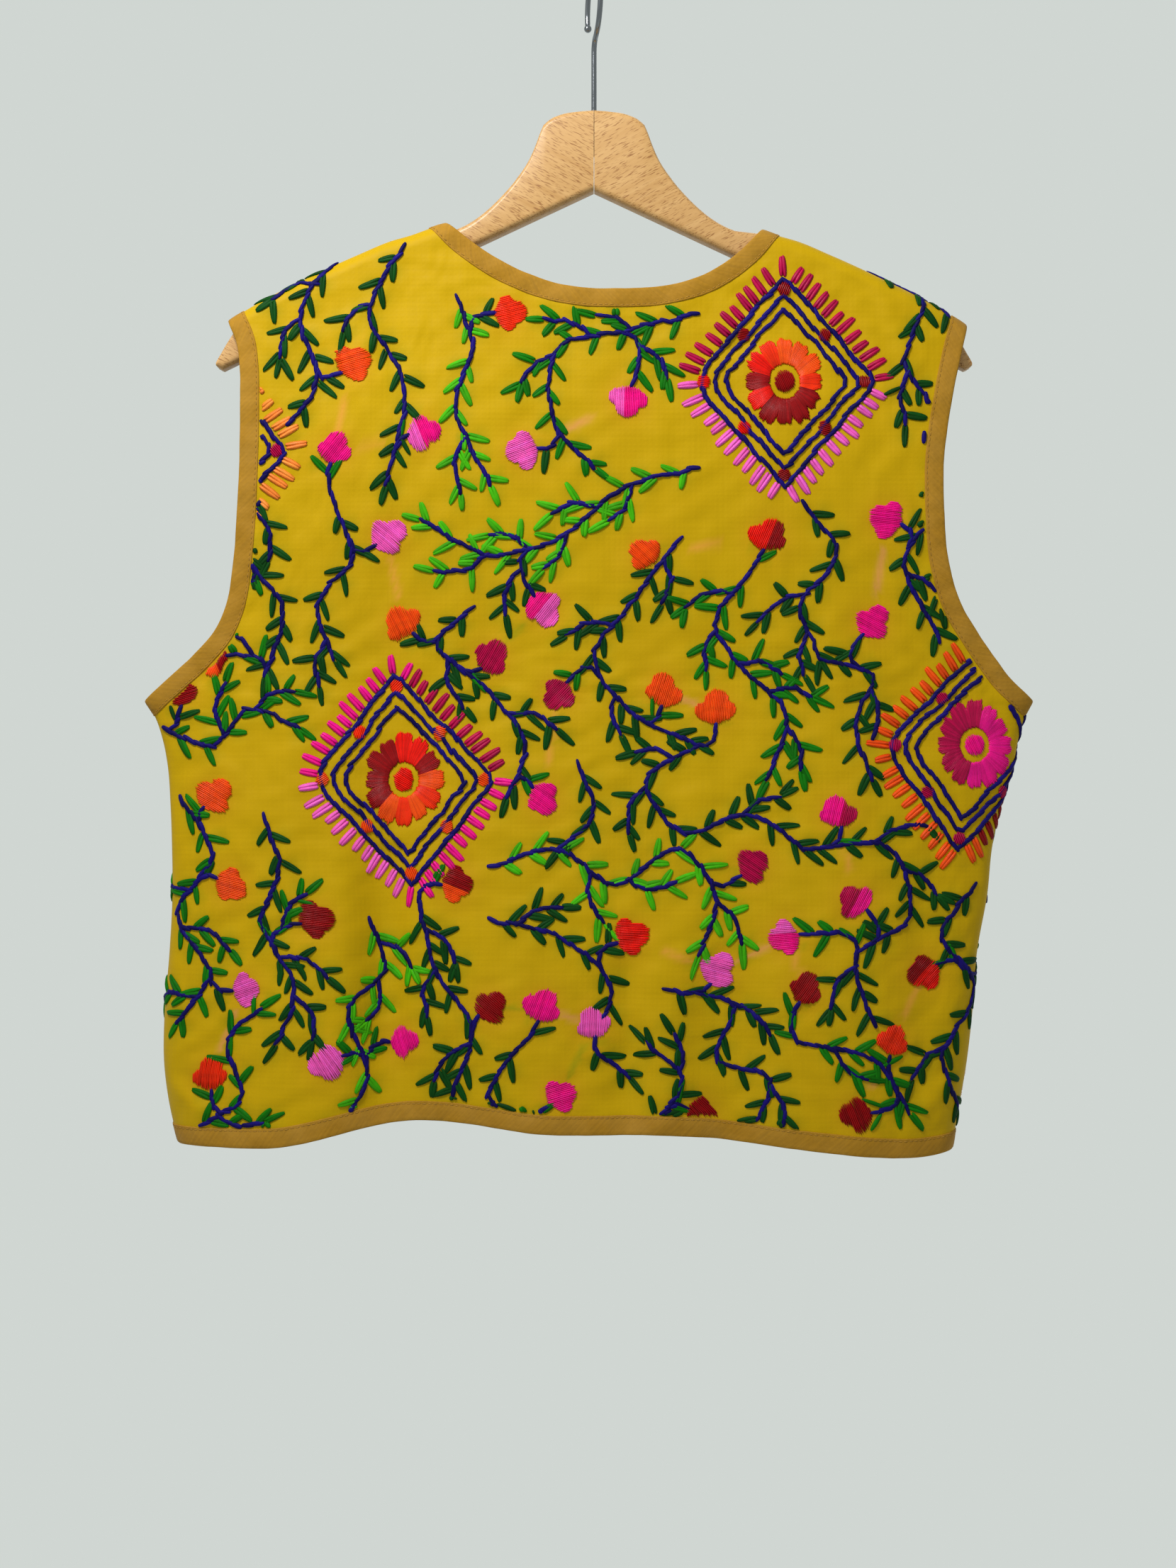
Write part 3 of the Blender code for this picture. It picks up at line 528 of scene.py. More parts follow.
# Creases finer than the folds: x and drop of both ends, width and height. Below zero they sink in
CREASES = {
    BACK: (
        (-140, 118, -124, 205, 9, 1.3), (-119, 100, -112, 190, 8, -1.1), (-182, 150, -170, 128, 5, .8),
        (-150, 205, -118, 150, 6, .7), (150, 120, 168, 205, 9, -1.2), (128, 240, 146, 330, 12, 1.2),
        (96, 120, 104, 230, 12, .9), (-60, 110, -66, 230, 14, 1.0), (20, 480, 22, 590, 4, -.9),
        (29, 500, 31, 590, 4, .8), (41, 470, 43, 560, 5, -.8), (-244, 566, -214, 588, 6, 1.5),
        (-240, 556, -206, 578, 6, -1.2), (-182, 522, -168, 514, 4, .9), (-132, 545, -96, 596, 10, 1.6),
        (-96, 560, -66, 590, 10, -1.4), (70, 560, 92, 592, 8, 1.2), (206, 560, 176, 594, 8, 1.2),
        (-238, 360, -190, 420, 12, 1.2), (222, 350, 180, 430, 12, 1.1), (-10, 300, -14, 420, 12, .7),
        (-146, 430, -145, 600, 13, 3.0), (-124, 410, -121, 600, 12, -5.5), (-97, 420, -95, 600, 12, 4.5),
        (18, 470, 16, 600, 11, -3.5), (42, 470, 44, 600, 12, 3.0), (192, 430, 186, 600, 13, -2.6),
        (-170, 300, -176, 470, 13, 2.0), (-205, 440, -208, 600, 12, -2.2), (110, 480, 112, 600, 14, 2.2),
        (-66, 250, -60, 420, 11, -1.3), (60, 380, 64, 520, 12, 1.5), (-128, 122, -108, 168, 4, -.8),
        (-164, 176, -140, 132, 4, -.8), (-120, 150, -122, 250, 6, 1.0), (176, 130, 186, 175, 5, .9),
    ),
    FRONT: (
        (-150, 110, -135, 230, 10, 1.2), (140, 110, 128, 230, 10, 1.2), (-60, 240, -75, 400, 12, 1.1),
        (66, 250, 84, 390, 12, -1.0), (-120, 420, -128, 580, 9, -1.1), (110, 430, 120, 585, 9, 1.1),
        (-200, 470, -170, 580, 10, 1.3), (196, 480, 170, 585, 10, -1.2), (-30, 480, -34, 590, 8, 1.0),
        (40, 500, 46, 590, 8, 1.0), (-230, 370, -180, 430, 12, 1.2), (226, 360, 176, 430, 12, 1.2),
    ),
}

# The fronts are charted as the back is, seen through it, and this much lower
FRONT_CHART_SHIFT = 9
FRONT_MEDALLIONS = (
    dict(centre=(-118, 178), lean=0,
         fringe=("magenta", "crimson", "pink", "magenta"),
         dots=("orange", "red_orange", "orange", "orange"), heart="red",
         petals=("red", "red", "orange", "orange", "orange", "dark_red", "dark_red", "dark_red", "red",
                 "orange", "orange", "red")),
    dict(centre=(114, 404), lean=5,
         fringe=("crimson", "orange", "dark_red", "orange"),
         dots=("magenta", "crimson", "magenta", "crimson"), heart="pink",
         petals=("magenta", "magenta", "magenta", "crimson", "crimson", "crimson", "magenta", "magenta",
                 "crimson", "crimson", "magenta", "magenta")),
)
FRONT_STEMS = (
    ("mid", ((230, 340), (210, 370), (190, 390), (180, 420))),
    ("dark", ((240, 390), (230, 410), (220, 440))),
)
FRONT_BLOSSOMS = (
    (170, 430, "red_orange", "orange"), (180, 340, "pink", "magenta"), (230, 440, "crimson", "magenta"),
    (240, 390, "orange", "orange"),
)
SEEDS = {BACK: 11, FRONT: 23}
GRAIN_SLOPE = math.radians(28)

# Stage
VIEW_HEIGHT = 0.916          # seen at the hanger
VIEW_MIDDLE = (-0.0035, -0.4755)    # x and z that the camera faces
LAMPS_FACE = (-0.0035, 0, -0.45)
FLOOR_RADIUS = 0.78
SENSOR = 36

# Lamps: place, width and share of the key light's power
LAMPS = (
    ("key", (-.34, -.58, .37), .26, 1),
    ("fill", (-1.5, -1.3, -.2), 1.2, .10),
    ("rim", (.4, 1.6, .8), 1.2, .4),
)

# Main stems of the back, drawn freely through the room between the medallions: kind of leaf, and a few points
STEMS = (
    ("dark", ((-150, 90), (-170, 120), (-160, 160), (-180, 190))),
    ("dark", ((-110, 80), (-130, 120), (-110, 160), (-120, 220))),
    ("bright", ((-80, 110), (-70, 140), (-80, 170), (-60, 220))),
    ("mid", ((60, 120), (20, 130), (-20, 140), (-20, 190), (0, 210))),
    ("dark", ((160, 80), (190, 110), (180, 150), (200, 180))),
    ("bright", ((60, 210), (20, 220), (-20, 250), (-60, 260), (-100, 240))),
    ("dark", ((-150, 230), (-140, 260), (-160, 290), (-150, 320))),
    ("dark", ((-190, 220), (-200, 260), (-180, 290), (-190, 330))),
    ("dark", ((120, 230), (140, 260), (120, 290), (130, 320))),
    ("dark", ((130, 320), (160, 330), (150, 360), (160, 390))),
    ("dark", ((190, 190), (200, 230), (180, 260), (200, 310))),
    ("dark", ((50, 250), (20, 290), (0, 320), (20, 350), (60, 370))),
    ("dark", ((60, 370), (30, 390), (50, 420), (90, 410), (120, 430))),
    ("mid", ((90, 270), (70, 300), (90, 330), (110, 350), (100, 390))),
    ("dark", ((120, 430), (170, 430), (180, 470), (150, 490), (160, 530))),
    ("dark", ((-70, 290), (-90, 310), (-60, 340), (-40, 370), (-50, 400))),
    ("bright", ((-60, 440), (-20, 430), (10, 450), (50, 430), (70, 460), (60, 490))),
    ("dark", ((-10, 380), (0, 410), (-20, 430))),
    ("dark", ((-60, 470), (-20, 480), (10, 510), (0, 540), (20, 560))),
    ("dark", ((40, 510), (80, 520), (70, 550), (100, 560), (90, 590))),
    ("dark", ((220, 450), (200, 480), (220, 510), (200, 550), (210, 580))),
    ("mid", ((120, 540), (160, 550), (180, 580))),
    ("mid", ((-250, 360), (-220, 370), (-200, 350), (-170, 360))),
    ("mid", ((-240, 400), (-220, 430), (-240, 470), (-220, 500), (-240, 530))),
    ("dark", ((-190, 410), (-180, 440), (-190, 470), (-170, 510), (-180, 540))),
    ("bright", ((-130, 470), (-120, 500), (-140, 520), (-130, 560), (-150, 590))),
    ("dark", ((-100, 460), (-90, 500), (-70, 530), (-80, 570))),
    ("mid", ((-230, 590), (-200, 570), (-210, 540), (-190, 520))),
    ("dark", ((-40, 540), (-60, 570), (-30, 590))),
    ("dark", ((30, 590), (50, 560), (30, 540))),
)

# Blossoms on the back: x, drop and the two colours
BLOSSOMS = (
    (-50, 120, "red_orange", "red_orange"), (-140, 150, "orange", "orange"), (20, 170, "magenta", "pink"),
    (-40, 200, "pink", "pink"), (-100, 190, "magenta", "pink"), (-150, 200, "magenta", "magenta"),
    (100, 250, "red", "dark_red"), (30, 260, "orange", "orange"), (170, 240, "magenta", "magenta"),
    (160, 300, "magenta", "magenta"), (-120, 250, "pink", "pink"), (-110, 300, "orange", "orange"),
    (-220, 280, "magenta", "magenta"), (-220, 320, "orange", "dark_red"), (-240, 340, "dark_red", "dark_red"),
    (-60, 320, "crimson", "crimson"), (-30, 290, "pink", "magenta"), (-20, 340, "crimson", "crimson"),
    (-30, 400, "magenta", "magenta"), (40, 340, "orange", "orange"), (70, 350, "orange", "orange"),
    (140, 410, "magenta", "crimson"), (90, 440, "crimson", "crimson"), (150, 460, "crimson", "magenta"),
    (-220, 400, "orange", "orange"), (-210, 450, "orange", "orange"), (-160, 470, "dark_red", "dark_red"),
    (-80, 450, "dark_red", "orange"), (20, 480, "red", "red"), (110, 480, "magenta", "pink"),
    (70, 500, "pink", "pink"), (-200, 510, "pink", "pink"), (-150, 550, "pink", "pink"),
    (-60, 520, "dark_red", "dark_red"), (-110, 540, "magenta", "magenta"), (-30, 520, "magenta", "magenta"),
    (0, 530, "pink", "pink"), (120, 510, "dark_red", "dark_red"), (190, 500, "red", "dark_red"),
    (170, 540, "red_orange", "red_orange"), (-220, 560, "red_orange", "red_orange"),
    (60, 580, "dark_red", "dark_red"), (-20, 570, "magenta", "magenta"), (150, 580, "dark_red", "dark_red"),
)

# Arc lengths round the horizontal section, so that a motif keeps its size where the cloth turns round a side
ARC_DROPS = np.linspace(.20, .63, 87)
ARC_ANGLES = np.linspace(-math.pi / 2 - 1.25, math.pi / 2 + 1.25, 1501)
BEND_SPARE = SHOULDER_RADIUS * (math.pi / 2 - 1)


def arc_table(side):
    """Way round the cloth from x = 0 at each drop and angle."""
    drop, angle = ARC_DROPS[:, None], ARC_ANGLES[None, :]
    points = cloth(angle + 0 * drop, over_from_below(drop - shoulder_drop_at(angle)), side)
    step = np.linalg.norm(np.diff(points[..., :2], axis=1), axis=-1)
    way = np.concatenate([np.zeros((len(drop), 1)), np.cumsum(step, axis=1)], axis=1)
    starts = [np.interp(angle_at(0.0, d), ARC_ANGLES, row) for d, row in zip(ARC_DROPS, way)]
    return way - np.array(starts)[:, None]


ARCS = {side: arc_table(side) for side in (BACK, FRONT)}


def by_row(at, rows_of, drop):
    """A table's values between its two rows beside each drop."""
    place = np.clip((drop - ARC_DROPS[0]) / (ARC_DROPS[1] - ARC_DROPS[0]), 0, len(ARC_DROPS) - 1.001)
    below = place.astype(int)
    found = np.zeros_like(at)
    for row in np.unique(below):
        here = below == row
        share = (place - row)[here]
        found[here] = (1 - share) * rows_of(row)(at[here]) + share * rows_of(row + 1)(at[here])
    return found


def charted(points, side):
    """Charted millimetres as metres of cloth: way round from x = 0, and way down over the shoulder."""
    x, drop = np.asarray(points, float).T / 1000
    angle = angle_at(x, drop)
    middle, half = body_middle_and_half(drop)
    way = by_row(angle, lambda row: lambda a: np.interp(a, ARC_ANGLES, ARCS[side][row]), drop)
    way += x - middle - half * across(angle)
    return np.stack([way, shoulder_drop(x) + over_from_below(drop - shoulder_drop(x))], -1)


def places_of(flat, side):
    """Places of points that are given as metres of cloth, and the x of each."""
    way, down = flat[..., 0], flat[..., 1]
    drop = down - BEND_SPARE
    angle = by_row(way, lambda row: lambda s: np.interp(s, ARCS[side][row], ARC_ANGLES), drop)
    middle, half = body_middle_and_half(drop)
    x = middle + half * across(angle)
    past = down - shoulder_drop(x)
    over = over_from_below(shoulder_drop(x) + below_from_over(np.maximum(past, 0)) - shoulder_drop_at(angle))
    return np.stack([angle, -side * np.where(past < 0, past, over)], -1), x


def open_cloth(flat, side, margin=0.0):
    """True where a point lies on plain cloth, at least this far from the bindings."""
    place, x = places_of(flat, side)
    down = flat[..., 1]
    round_side = np.abs(place[..., 0]) > math.pi / 2
    face = np.where(round_side, -side, side)
    clear = ~round_side | (side == BACK)
    for left, sign in ((True, 1), (False, -1)):
        seam = ARMHOLE_SEAMS[left]
        level = down < seam[0, 1] + margin
        limit = np.interp(down, seam[::-1, 1], seam[::-1, 0])
        clear &= ~level | ((x - limit) * sign > margin)
    neck = BACK_NECK_SEAM
    under_neck = (x > neck[0, 0]) & (x < neck[-1, 0])
    clear &= (face == FRONT) | ~under_neck | (down > np.interp(x, neck[:, 0], neck[:, 1]) + margin)
    for left, sign in ((True, -1), (False, 1)):
        seam = FRONT_NECK_SEAMS[left]
        limit = np.interp(down, seam[::-1, 1], seam[::-1, 0])
        clear &= (face == BACK) | ((x - FRONT_MIDDLE) * sign < 0) | ((x - limit) * sign > margin)
    hem = np.where(face == BACK, smooth(x, HEM_X, HEM_BACK_DROP), smooth(x, HEM_X, HEM_FRONT_DROP))
    clear &= down - BEND_SPARE < hem - BINDING_WIDTH - margin
    return clear


ARMHOLE_SEAMS = {left: armhole_seam(left) for left in (True, False)}
BACK_NECK_SEAM = back_neck_seam()
FRONT_NECK_SEAMS = {left: front_neck_seam(left) for left in (True, False)}


# Meshes


def colour_of(code):
    """Linear colour of an sRGB hex code."""
    parts = [int(code[at:at + 2], 16) / 255 for at in (1, 3, 5)]
    return tuple(part / 12.92 if part <= .04045 else ((part + .055) / 1.055) ** 2.4 for part in parts)


def grid_mesh(points, flat=None, tint=None, ring=False):
    """A bmesh grid laid through rows of points.

    flat gives each point's UV and tint the colour that shows through there, and ring joins the first and last
    columns."""
    rows, columns = points.shape[:2]
    bm = bmesh.new()
    bmesh.ops.create_grid(bm, x_segments=columns - 1, y_segments=rows - 1, size=1)
    chart = bm.loops.layers.uv.new("cloth")
    shown = bm.verts.layers.float_color.new("float")
    for vertex in bm.verts:
        column, row = (round((at + 1) / 2 * (count - 1)) for at, count in zip(vertex.co.xy, (columns, rows)))
        vertex.co = Vector(points[row, column])
        if tint is not None:
            vertex[shown] = tint[row, column]
        for loop in vertex.link_loops if flat is not None else ():
            loop[chart].uv = flat[row, column]
    if ring:
        bmesh.ops.remove_doubles(bm, verts=bm.verts, dist=1e-6)
        bmesh.ops.holes_fill(bm, edges=[edge for edge in bm.edges if edge.is_boundary], sides=80)
        bmesh.ops.recalc_face_normals(bm, faces=bm.faces)
    return bm


def piece_from(name, bm, material, replaced=()):
    """A bmesh as a finished piece that rides with the waistcoat."""
    mesh = bpy.data.meshes.new(name)
    bm.to_mesh(mesh)
    bm.free()
    mesh.shade_smooth()
    mesh.materials.append(material)
    made = bpy.data.objects.new(name, mesh)
    bpy.context.scene.collection.objects.link(made)
    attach(made, "root")
    if replaced:
        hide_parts(*replaced)
    return made


def joined(points, faces, colours, strand):
    """One mesh of many copies of a stitch.

    points and strand hold each copy's own, colours one for each copy."""
    copies, count = points.shape[:2]
    corners = (faces[None] + np.arange(copies)[:, None, None] * count).reshape(-1, 3)
    mesh = bpy.data.meshes.new("stitches")
    mesh.from_pydata(points.reshape(-1, 3), [], corners)
    dye = mesh.attributes.new("dye", "FLOAT_COLOR", "POINT")
    colours = np.concatenate([np.broadcast_to(colours, (copies, 3)), np.ones((copies, 1))], 1)
    dye.data.foreach_set("color", np.repeat(colours, count, axis=0).ravel())
    chart = mesh.uv_layers.new(name="strand")
    chart.data.foreach_set("uv", strand.reshape(-1, 2)[corners.ravel()].ravel())
    bm = bmesh.new()
    bm.from_mesh(mesh)
    bpy.data.meshes.remove(mesh)
    return bm


def stitch_form(around, along, fullness):
    """Points and faces of one padded stitch: 2 long, 2 wide and 2 high."""
    bm = bmesh.new()
    bmesh.ops.create_uvsphere(bm, u_segments=around, v_segments=along, radius=1, calc_uvs=True)
    bmesh.ops.triangulate(bm, faces=bm.faces[:])
    points = np.array([vertex.co.zxy for vertex in bm.verts])
    radius = np.sqrt(np.clip(1 - points[:, 0] ** 2, 1e-6, 1))
    points[:, 1:] *= (radius ** (fullness - 1))[:, None]
    points[np.abs(points[:, 0]) > .999, 1:] = 0
    faces = np.array([[vertex.index for vertex in face.verts] for face in bm.faces])
    bm.free()
    return points, faces


def sewn(name, stitches, side, form, material):
    """Copies of one stitch laid on the cloth and joined into a piece.

    A stitch is a row: its middle on the cloth, its heading, colour, length, width, height and lift."""
    stitches = [row for row in stitches if row[3] > SHORTEST_STITCH]
    middle, heading, length, width, height, lift = (np.array([row[at] for row in stitches])
                                                    for at in (0, 1, 3, 4, 5, 6))
    template, faces = form
    reach = template[None, :, 0] * length[:, None] / 2
    aside = template[None, :, 1] * width[:, None] / 2
    up = lift[:, None] + template[None, :, 2] * height[:, None]
    run = np.stack([np.cos(heading), np.sin(heading)], -1)[:, None]
    square = np.stack([-np.sin(heading), np.cos(heading)], -1)[:, None]
    flat = middle[:, None] + run * reach[..., None] + square * aside[..., None]
    place, _ = places_of(flat.reshape(-1, 2), side)
    points = surface(place, BACK, -up.reshape(-1))
    strand = np.stack([reach, aside], -1) * 100
    bm = joined(points.reshape(len(stitches), -1, 3), faces[:, ::-1] if side == BACK else faces,
                np.array([row[2] for row in stitches]), strand)
    return piece_from(name, bm, material)


# Stitches, as rows of middle, heading, colour, length, width, height and lift


def shaded(code, amount, source):
    """A dyed thread's colour, a little lighter or darker than its code."""
    return tuple(np.clip(np.array(colour_of(code)) * (1 + source.uniform(-amount, amount)), 0, 1))


def trimmed(rows, side, margin=.0006):
    """The stretches of these stitches that show clear of the bindings, on this side's own cloth."""
    if not rows:
        return []
    middle = np.array([row[0] for row in rows])
    heading, length = np.array([row[1] for row in rows]), np.array([row[3] for row in rows])
    shares = np.linspace(-.5, .5, 9)
    run = np.stack([np.cos(heading), np.sin(heading)], -1)
    points = middle[:, None] + run[:, None] * (length[:, None] * shares)[..., None]
    clear = open_cloth(points.reshape(-1, 2), side, margin).reshape(len(rows), -1)
    kept = []
    for row, seen, line in zip(rows, clear, points):
        if seen.all():
            kept.append(row)
        elif seen.any():
            first, last = np.flatnonzero(seen)[[0, -1]]
            if seen[first:last + 1].all() and last > first:
                kept.append(((line[first] + line[last]) / 2, row[1], row[2],
                             row[3] * (last - first) / 8, *row[4:]))
    return kept


def rounded_path(points, spacing):
    """Points at this spacing on a smooth curve through a few."""
    points = np.asarray(points, float)
    if len(points) > 2:
        way = np.concatenate([[0], np.cumsum(np.linalg.norm(np.diff(points, axis=0), axis=1))])
        fine = np.linspace(0, way[-1], 24 * len(points))
        points = np.stack([smooth(fine, way, points[:, k]) for k in (0, 1)], -1)
    way = np.concatenate([[0], np.cumsum(np.linalg.norm(np.diff(points, axis=0), axis=1))])
    at = np.linspace(0, way[-1], max(2, round(way[-1] / spacing) + 1))
    return np.stack([np.interp(at, way, points[:, k]) for k in (0, 1)], -1)


def stem_stitches(path, sizes, source):
    """Slanted stitches that overlap along a line."""
    rows = []
    for start, end in zip(path[:-1], path[1:]):
        along = end - start
        pitch = np.linalg.norm(along)
        heading = math.atan2(along[1], along[0])
        wander = np.array([-math.sin(heading), math.cos(heading)]) * source.normal(0, .00020)
        rows.append(((start + end) / 2 + wander, heading + source.normal(.15, .05),
                     shaded(NAVY, .45, source), pitch * 1.62, sizes.vine_width * source.uniform(.86, 1.15),
                     STEM_HEIGHT, STEM_LIFT))
    return rows


def leaf(start, heading, kind, sizes, source):
    """One leaf of two long stitches side by side, growing from its stem."""
    length = sizes.leaf_length * source.uniform(.80, 1.18)
    width = sizes.leaf_width * source.uniform(.85, 1.12)
    run = np.array([math.cos(heading), math.sin(heading)])
    rows = []
    for strand in (-1, 1):
        aside = np.array([-run[1], run[0]]) * strand * width * .17
        rows.append((start + run * (length / 2 + .0004) + aside, heading - strand * .05,
                     shaded(LEAF_GREENS[kind], .25, source), length * source.uniform(.93, 1.05),
                     width * .66, LEAF_HEIGHT, LEAF_LIFT))
    return rows


def vine(points, kind, tip, side, sizes, source):
    """A line of stem stitches with leaves along it, as stem stitches, leaf stitches and leaves' middles."""
    flat = charted(points, side)
    path = rounded_path(flat, sizes.stitch_pitch)
    path[1:-1] += source.normal(0, .00042, path[1:-1].shape)
    stem, leaves, spots = stem_stitches(path, sizes, source), [], []
    if kind:
        way = np.linalg.norm(np.diff(path, axis=0), axis=1).sum()
        pairs = max(1, round(way / sizes.leaf_pitch))
        hand = source.choice([-1, 1])
        for pair in range(pairs):
            at = (pair + .55 + source.uniform(-.12, .12)) / pairs
            here = min(int(at * (len(path) - 1)), len(path) - 2)
            along = path[here + 1] - path[here]
            heading = math.atan2(along[1], along[0])
            for turn in (hand, -hand):
                start = path[here] + along * (.5 + .6 * (turn == hand))
                grown = leaf(start, heading + turn * source.uniform(.55, .95), kind, sizes, source)
                leaves += grown
                spots.append(grown[0][0])
    if tip:
        along = path[-1] - path[-2]
        grown = leaf(path[-1], math.atan2(along[1], along[0]) + source.uniform(-.2, .2), kind, sizes, source)
        leaves += grown
        spots.append(grown[0][0])
    return stem, leaves, spots


def room_for(path, taken, buds, centres, gap):
    """Whether a path keeps clear of what is drawn, of the blossoms and of the medallions."""
    def apart(others):
        return np.linalg.norm(path[:, None] - others[None], axis=-1).min() if len(others) else np.inf
    inside = np.abs(path[:, None] - centres[None]) / (np.array(MEDALLION_HALF) + STEM_GAP)
    return apart(taken) > gap and apart(buds) > BUD_GAP and inside.sum(axis=-1).min() > 1


def stem_to(bud, stems, others, centres):
    """A curve to a blossom from the nearest main stem that it can reach, or a short one of its own."""
    feet = np.concatenate([path[::3] for path in stems])
    runs = np.concatenate([np.gradient(path, axis=0)[::3] for path in stems])
    away = np.linalg.norm(feet - bud, axis=1)
    for at in np.argsort(away):
        if not BUD_STEM_REACH[0] < away[at] < BUD_STEM_REACH[1]:
            continue
        run = unit(runs[at]) * np.sign(runs[at] @ (bud - feet[at]) or 1)
        knee = feet[at] + run * away[at] * .5
        t = np.linspace(0, 1, 12)[:, None]
        end = bud - unit(bud - knee) * BUD_STEM_END
        curve = (1 - t) ** 2 * feet[at] + 2 * t * (1 - t) * knee + t ** 2 * end
        if room_for(curve[2:], curve[:0], others, centres, 0):
            return curve
    return np.array([bud + (4, 34), bud + (7, 20), bud + (1, 8)])


def laid_out(stems, blossoms, centres, source):
    """Vines as kind, tip and points: the main stems, one to each blossom, and sprigs where there is room."""
    vines = [(kind, "leaf", points) for kind, points in stems]
    paths = [rounded_path(points, STEM_STEP) for _, points in stems]
    buds, centres = np.array([row[:2] for row in blossoms], float), np.array(centres, float)
    for number, bud in enumerate(buds):
        if min(np.linalg.norm(path - bud, axis=1).min() for path in paths[:len(stems)]) > ON_STEM:
            curve = stem_to(bud, paths[:len(stems)], np.delete(buds, number, axis=0), centres)
            vines.append((source.choice(["dark", "mid"]), "", curve))
            paths.append(rounded_path(curve, STEM_STEP))
    for (kind, _, _), path in list(zip(vines, paths)):
        hand = source.choice([-1, 1])
        for foot in range(4, len(path) - 3, SPRIG_STEPS):
            run = path[foot + 1] - path[foot]
            length, lean = source.uniform(*SPRIG_LENGTHS), source.uniform(.7, 1.0)
            for turn in (hand, -hand):
                first = math.atan2(run[1], run[0]) + turn * lean
                second = first - turn * lean * .7
                points = path[foot] + np.array([(0, 0), (math.cos(first), math.sin(first)),
                                                (math.cos(first) + math.cos(second),
                                                 math.sin(first) + math.sin(second))]) * length / 2
                sprig = rounded_path(points, STEM_STEP)
                if room_for(sprig[3:], np.concatenate(paths), buds, centres, STEM_GAP):
                    vines.append((kind, "leaf", points))
                    paths.append(sprig)
                    hand = -turn
                    break
    return vines, np.concatenate(paths), buds


def threads_behind(buds, source):
    """Threads carried on behind the cloth from a blossom towards the next, as two ends and a colour."""
    threads = []
    for bud in buds:
        away = np.linalg.norm(buds - bud, axis=1)
        following = buds[np.argsort(away)[1]]
        start, end = source.uniform(.25, .45), source.uniform(.6, .85)
        colour = source.choice(["#f0964a", "#6e8a10", "#f0964a", "#ea8a6a"])
        if source.random() < .6:
            threads.append((bud + (following - bud) * start, bud + (following - bud) * end, colour))
    return threads


def satin(outline, heading, colours, sizes, source, dome=STITCH_DOME):
    """Parallel threads that fill an outline, in two colours beside each other."""
    run = np.array([math.cos(heading), math.sin(heading)])
    square = np.array([-run[1], run[0]])
    middle = outline.mean(axis=0)
    along, aside = (outline - middle) @ run, (outline - middle) @ square
    low, high = aside.min(), aside.max()
    rows = []
    count = max(3, round((high - low) / sizes.satin_pitch))
    for at in range(count):
        level = low + (at + .5) * (high - low) / count
        closed_aside, closed_along = np.append(aside, aside[0]), np.append(along, along[0])
        crossing = (closed_aside[:-1] - level) * (closed_aside[1:] - level) < 0
        share = (level - closed_aside[:-1][crossing]) / np.diff(closed_aside)[crossing]
        ends = closed_along[:-1][crossing] + share * np.diff(closed_along)[crossing]
        if len(ends) < 2:
            continue
        first, last = ends.min() - abs(source.normal(0, .0005)), ends.max() + abs(source.normal(0, .0005))
        code = colours[0] if (at + .5) / count < .58 else colours[-1]
        swell = math.sqrt(max(0, 1 - ((at + .5) / count * 2 - 1) ** 2))
        rows.append((middle + run * (first + last) / 2 + square * level, heading + source.normal(0, .015),
                     shaded(THREADS[code], .20, source), last - first, sizes.satin_pitch * 1.22,
                     SATIN_HEIGHT + dome * swell * .5, SATIN_LIFT + dome * swell * .5))
    return rows


def blossom(middle, heading, colours, sizes, source):
    """A bud with three round lobes away from its stem, filled with satin stitches."""
    turn = np.linspace(-math.pi, math.pi, 145)[:-1]
    open_side = ease(1.9 - np.abs(turn) / 1.4)
    lobes = .62 + .30 * np.abs(np.cos(turn * 1.65 + source.uniform(-.3, .3))) ** .8 * open_side
    lobes += source.uniform(.02, .06) * np.cos(turn * 2 + source.uniform(0, 6))
    reach = sizes.blossom_size / 2 * lobes * source.uniform(1.05, 1.28)
    facing = turn + heading
    outline = middle + np.stack([np.cos(facing), np.sin(facing)], -1) * reach[:, None]
    return satin(outline, heading + source.choice([-.25, .1, .35, 1.3]), colours, sizes, source)


def dot(middle, colour, sizes, source, share=1.0):
    """A round dot of satin stitches."""
    turn = np.linspace(0, math.tau, 25)[:-1]
    oval = np.stack([np.cos(turn), np.sin(turn) * source.uniform(.95, 1.2)], -1)
    outline = middle + oval * sizes.dot_size / 2 * share
    return satin(outline, source.uniform(0, 3), (colour, colour), sizes, source, dome=DOT_DOME)


def daisy(middle, petals, heart, sizes, source):
    """Twelve petals of straight stitches round a ring of bare cloth, with a large dot in it."""
    rows = dot(middle, heart, sizes, source, 1.6)
    inner = sizes.daisy_size * .185
    for number, colour in enumerate(petals):
        centre = -math.pi / 2 + math.tau * number / len(petals)
        outer = sizes.daisy_size / 2 * source.uniform(.93, 1.06)
        for share in np.linspace(-.94, .94, 13):
            facing = centre + share * math.pi / len(petals)
            far = outer * (1 - .24 * share ** 4 - .05 * (1 - abs(share)) ** 3) + source.normal(0, .0004)
            near = inner * source.uniform(.93, 1.05)
            out = np.array([math.cos(facing) * .94, math.sin(facing) * 1.08])
            rows.append((middle + out * (near + far) / 2, math.atan2(out[1], out[0]),
                         shaded(THREADS[colour], .22, source), (far - near) * np.linalg.norm(out),
                         .00118 + .0003 * (far - inner) / inner, PETAL_HEIGHT, PETAL_LIFT))
    return rows


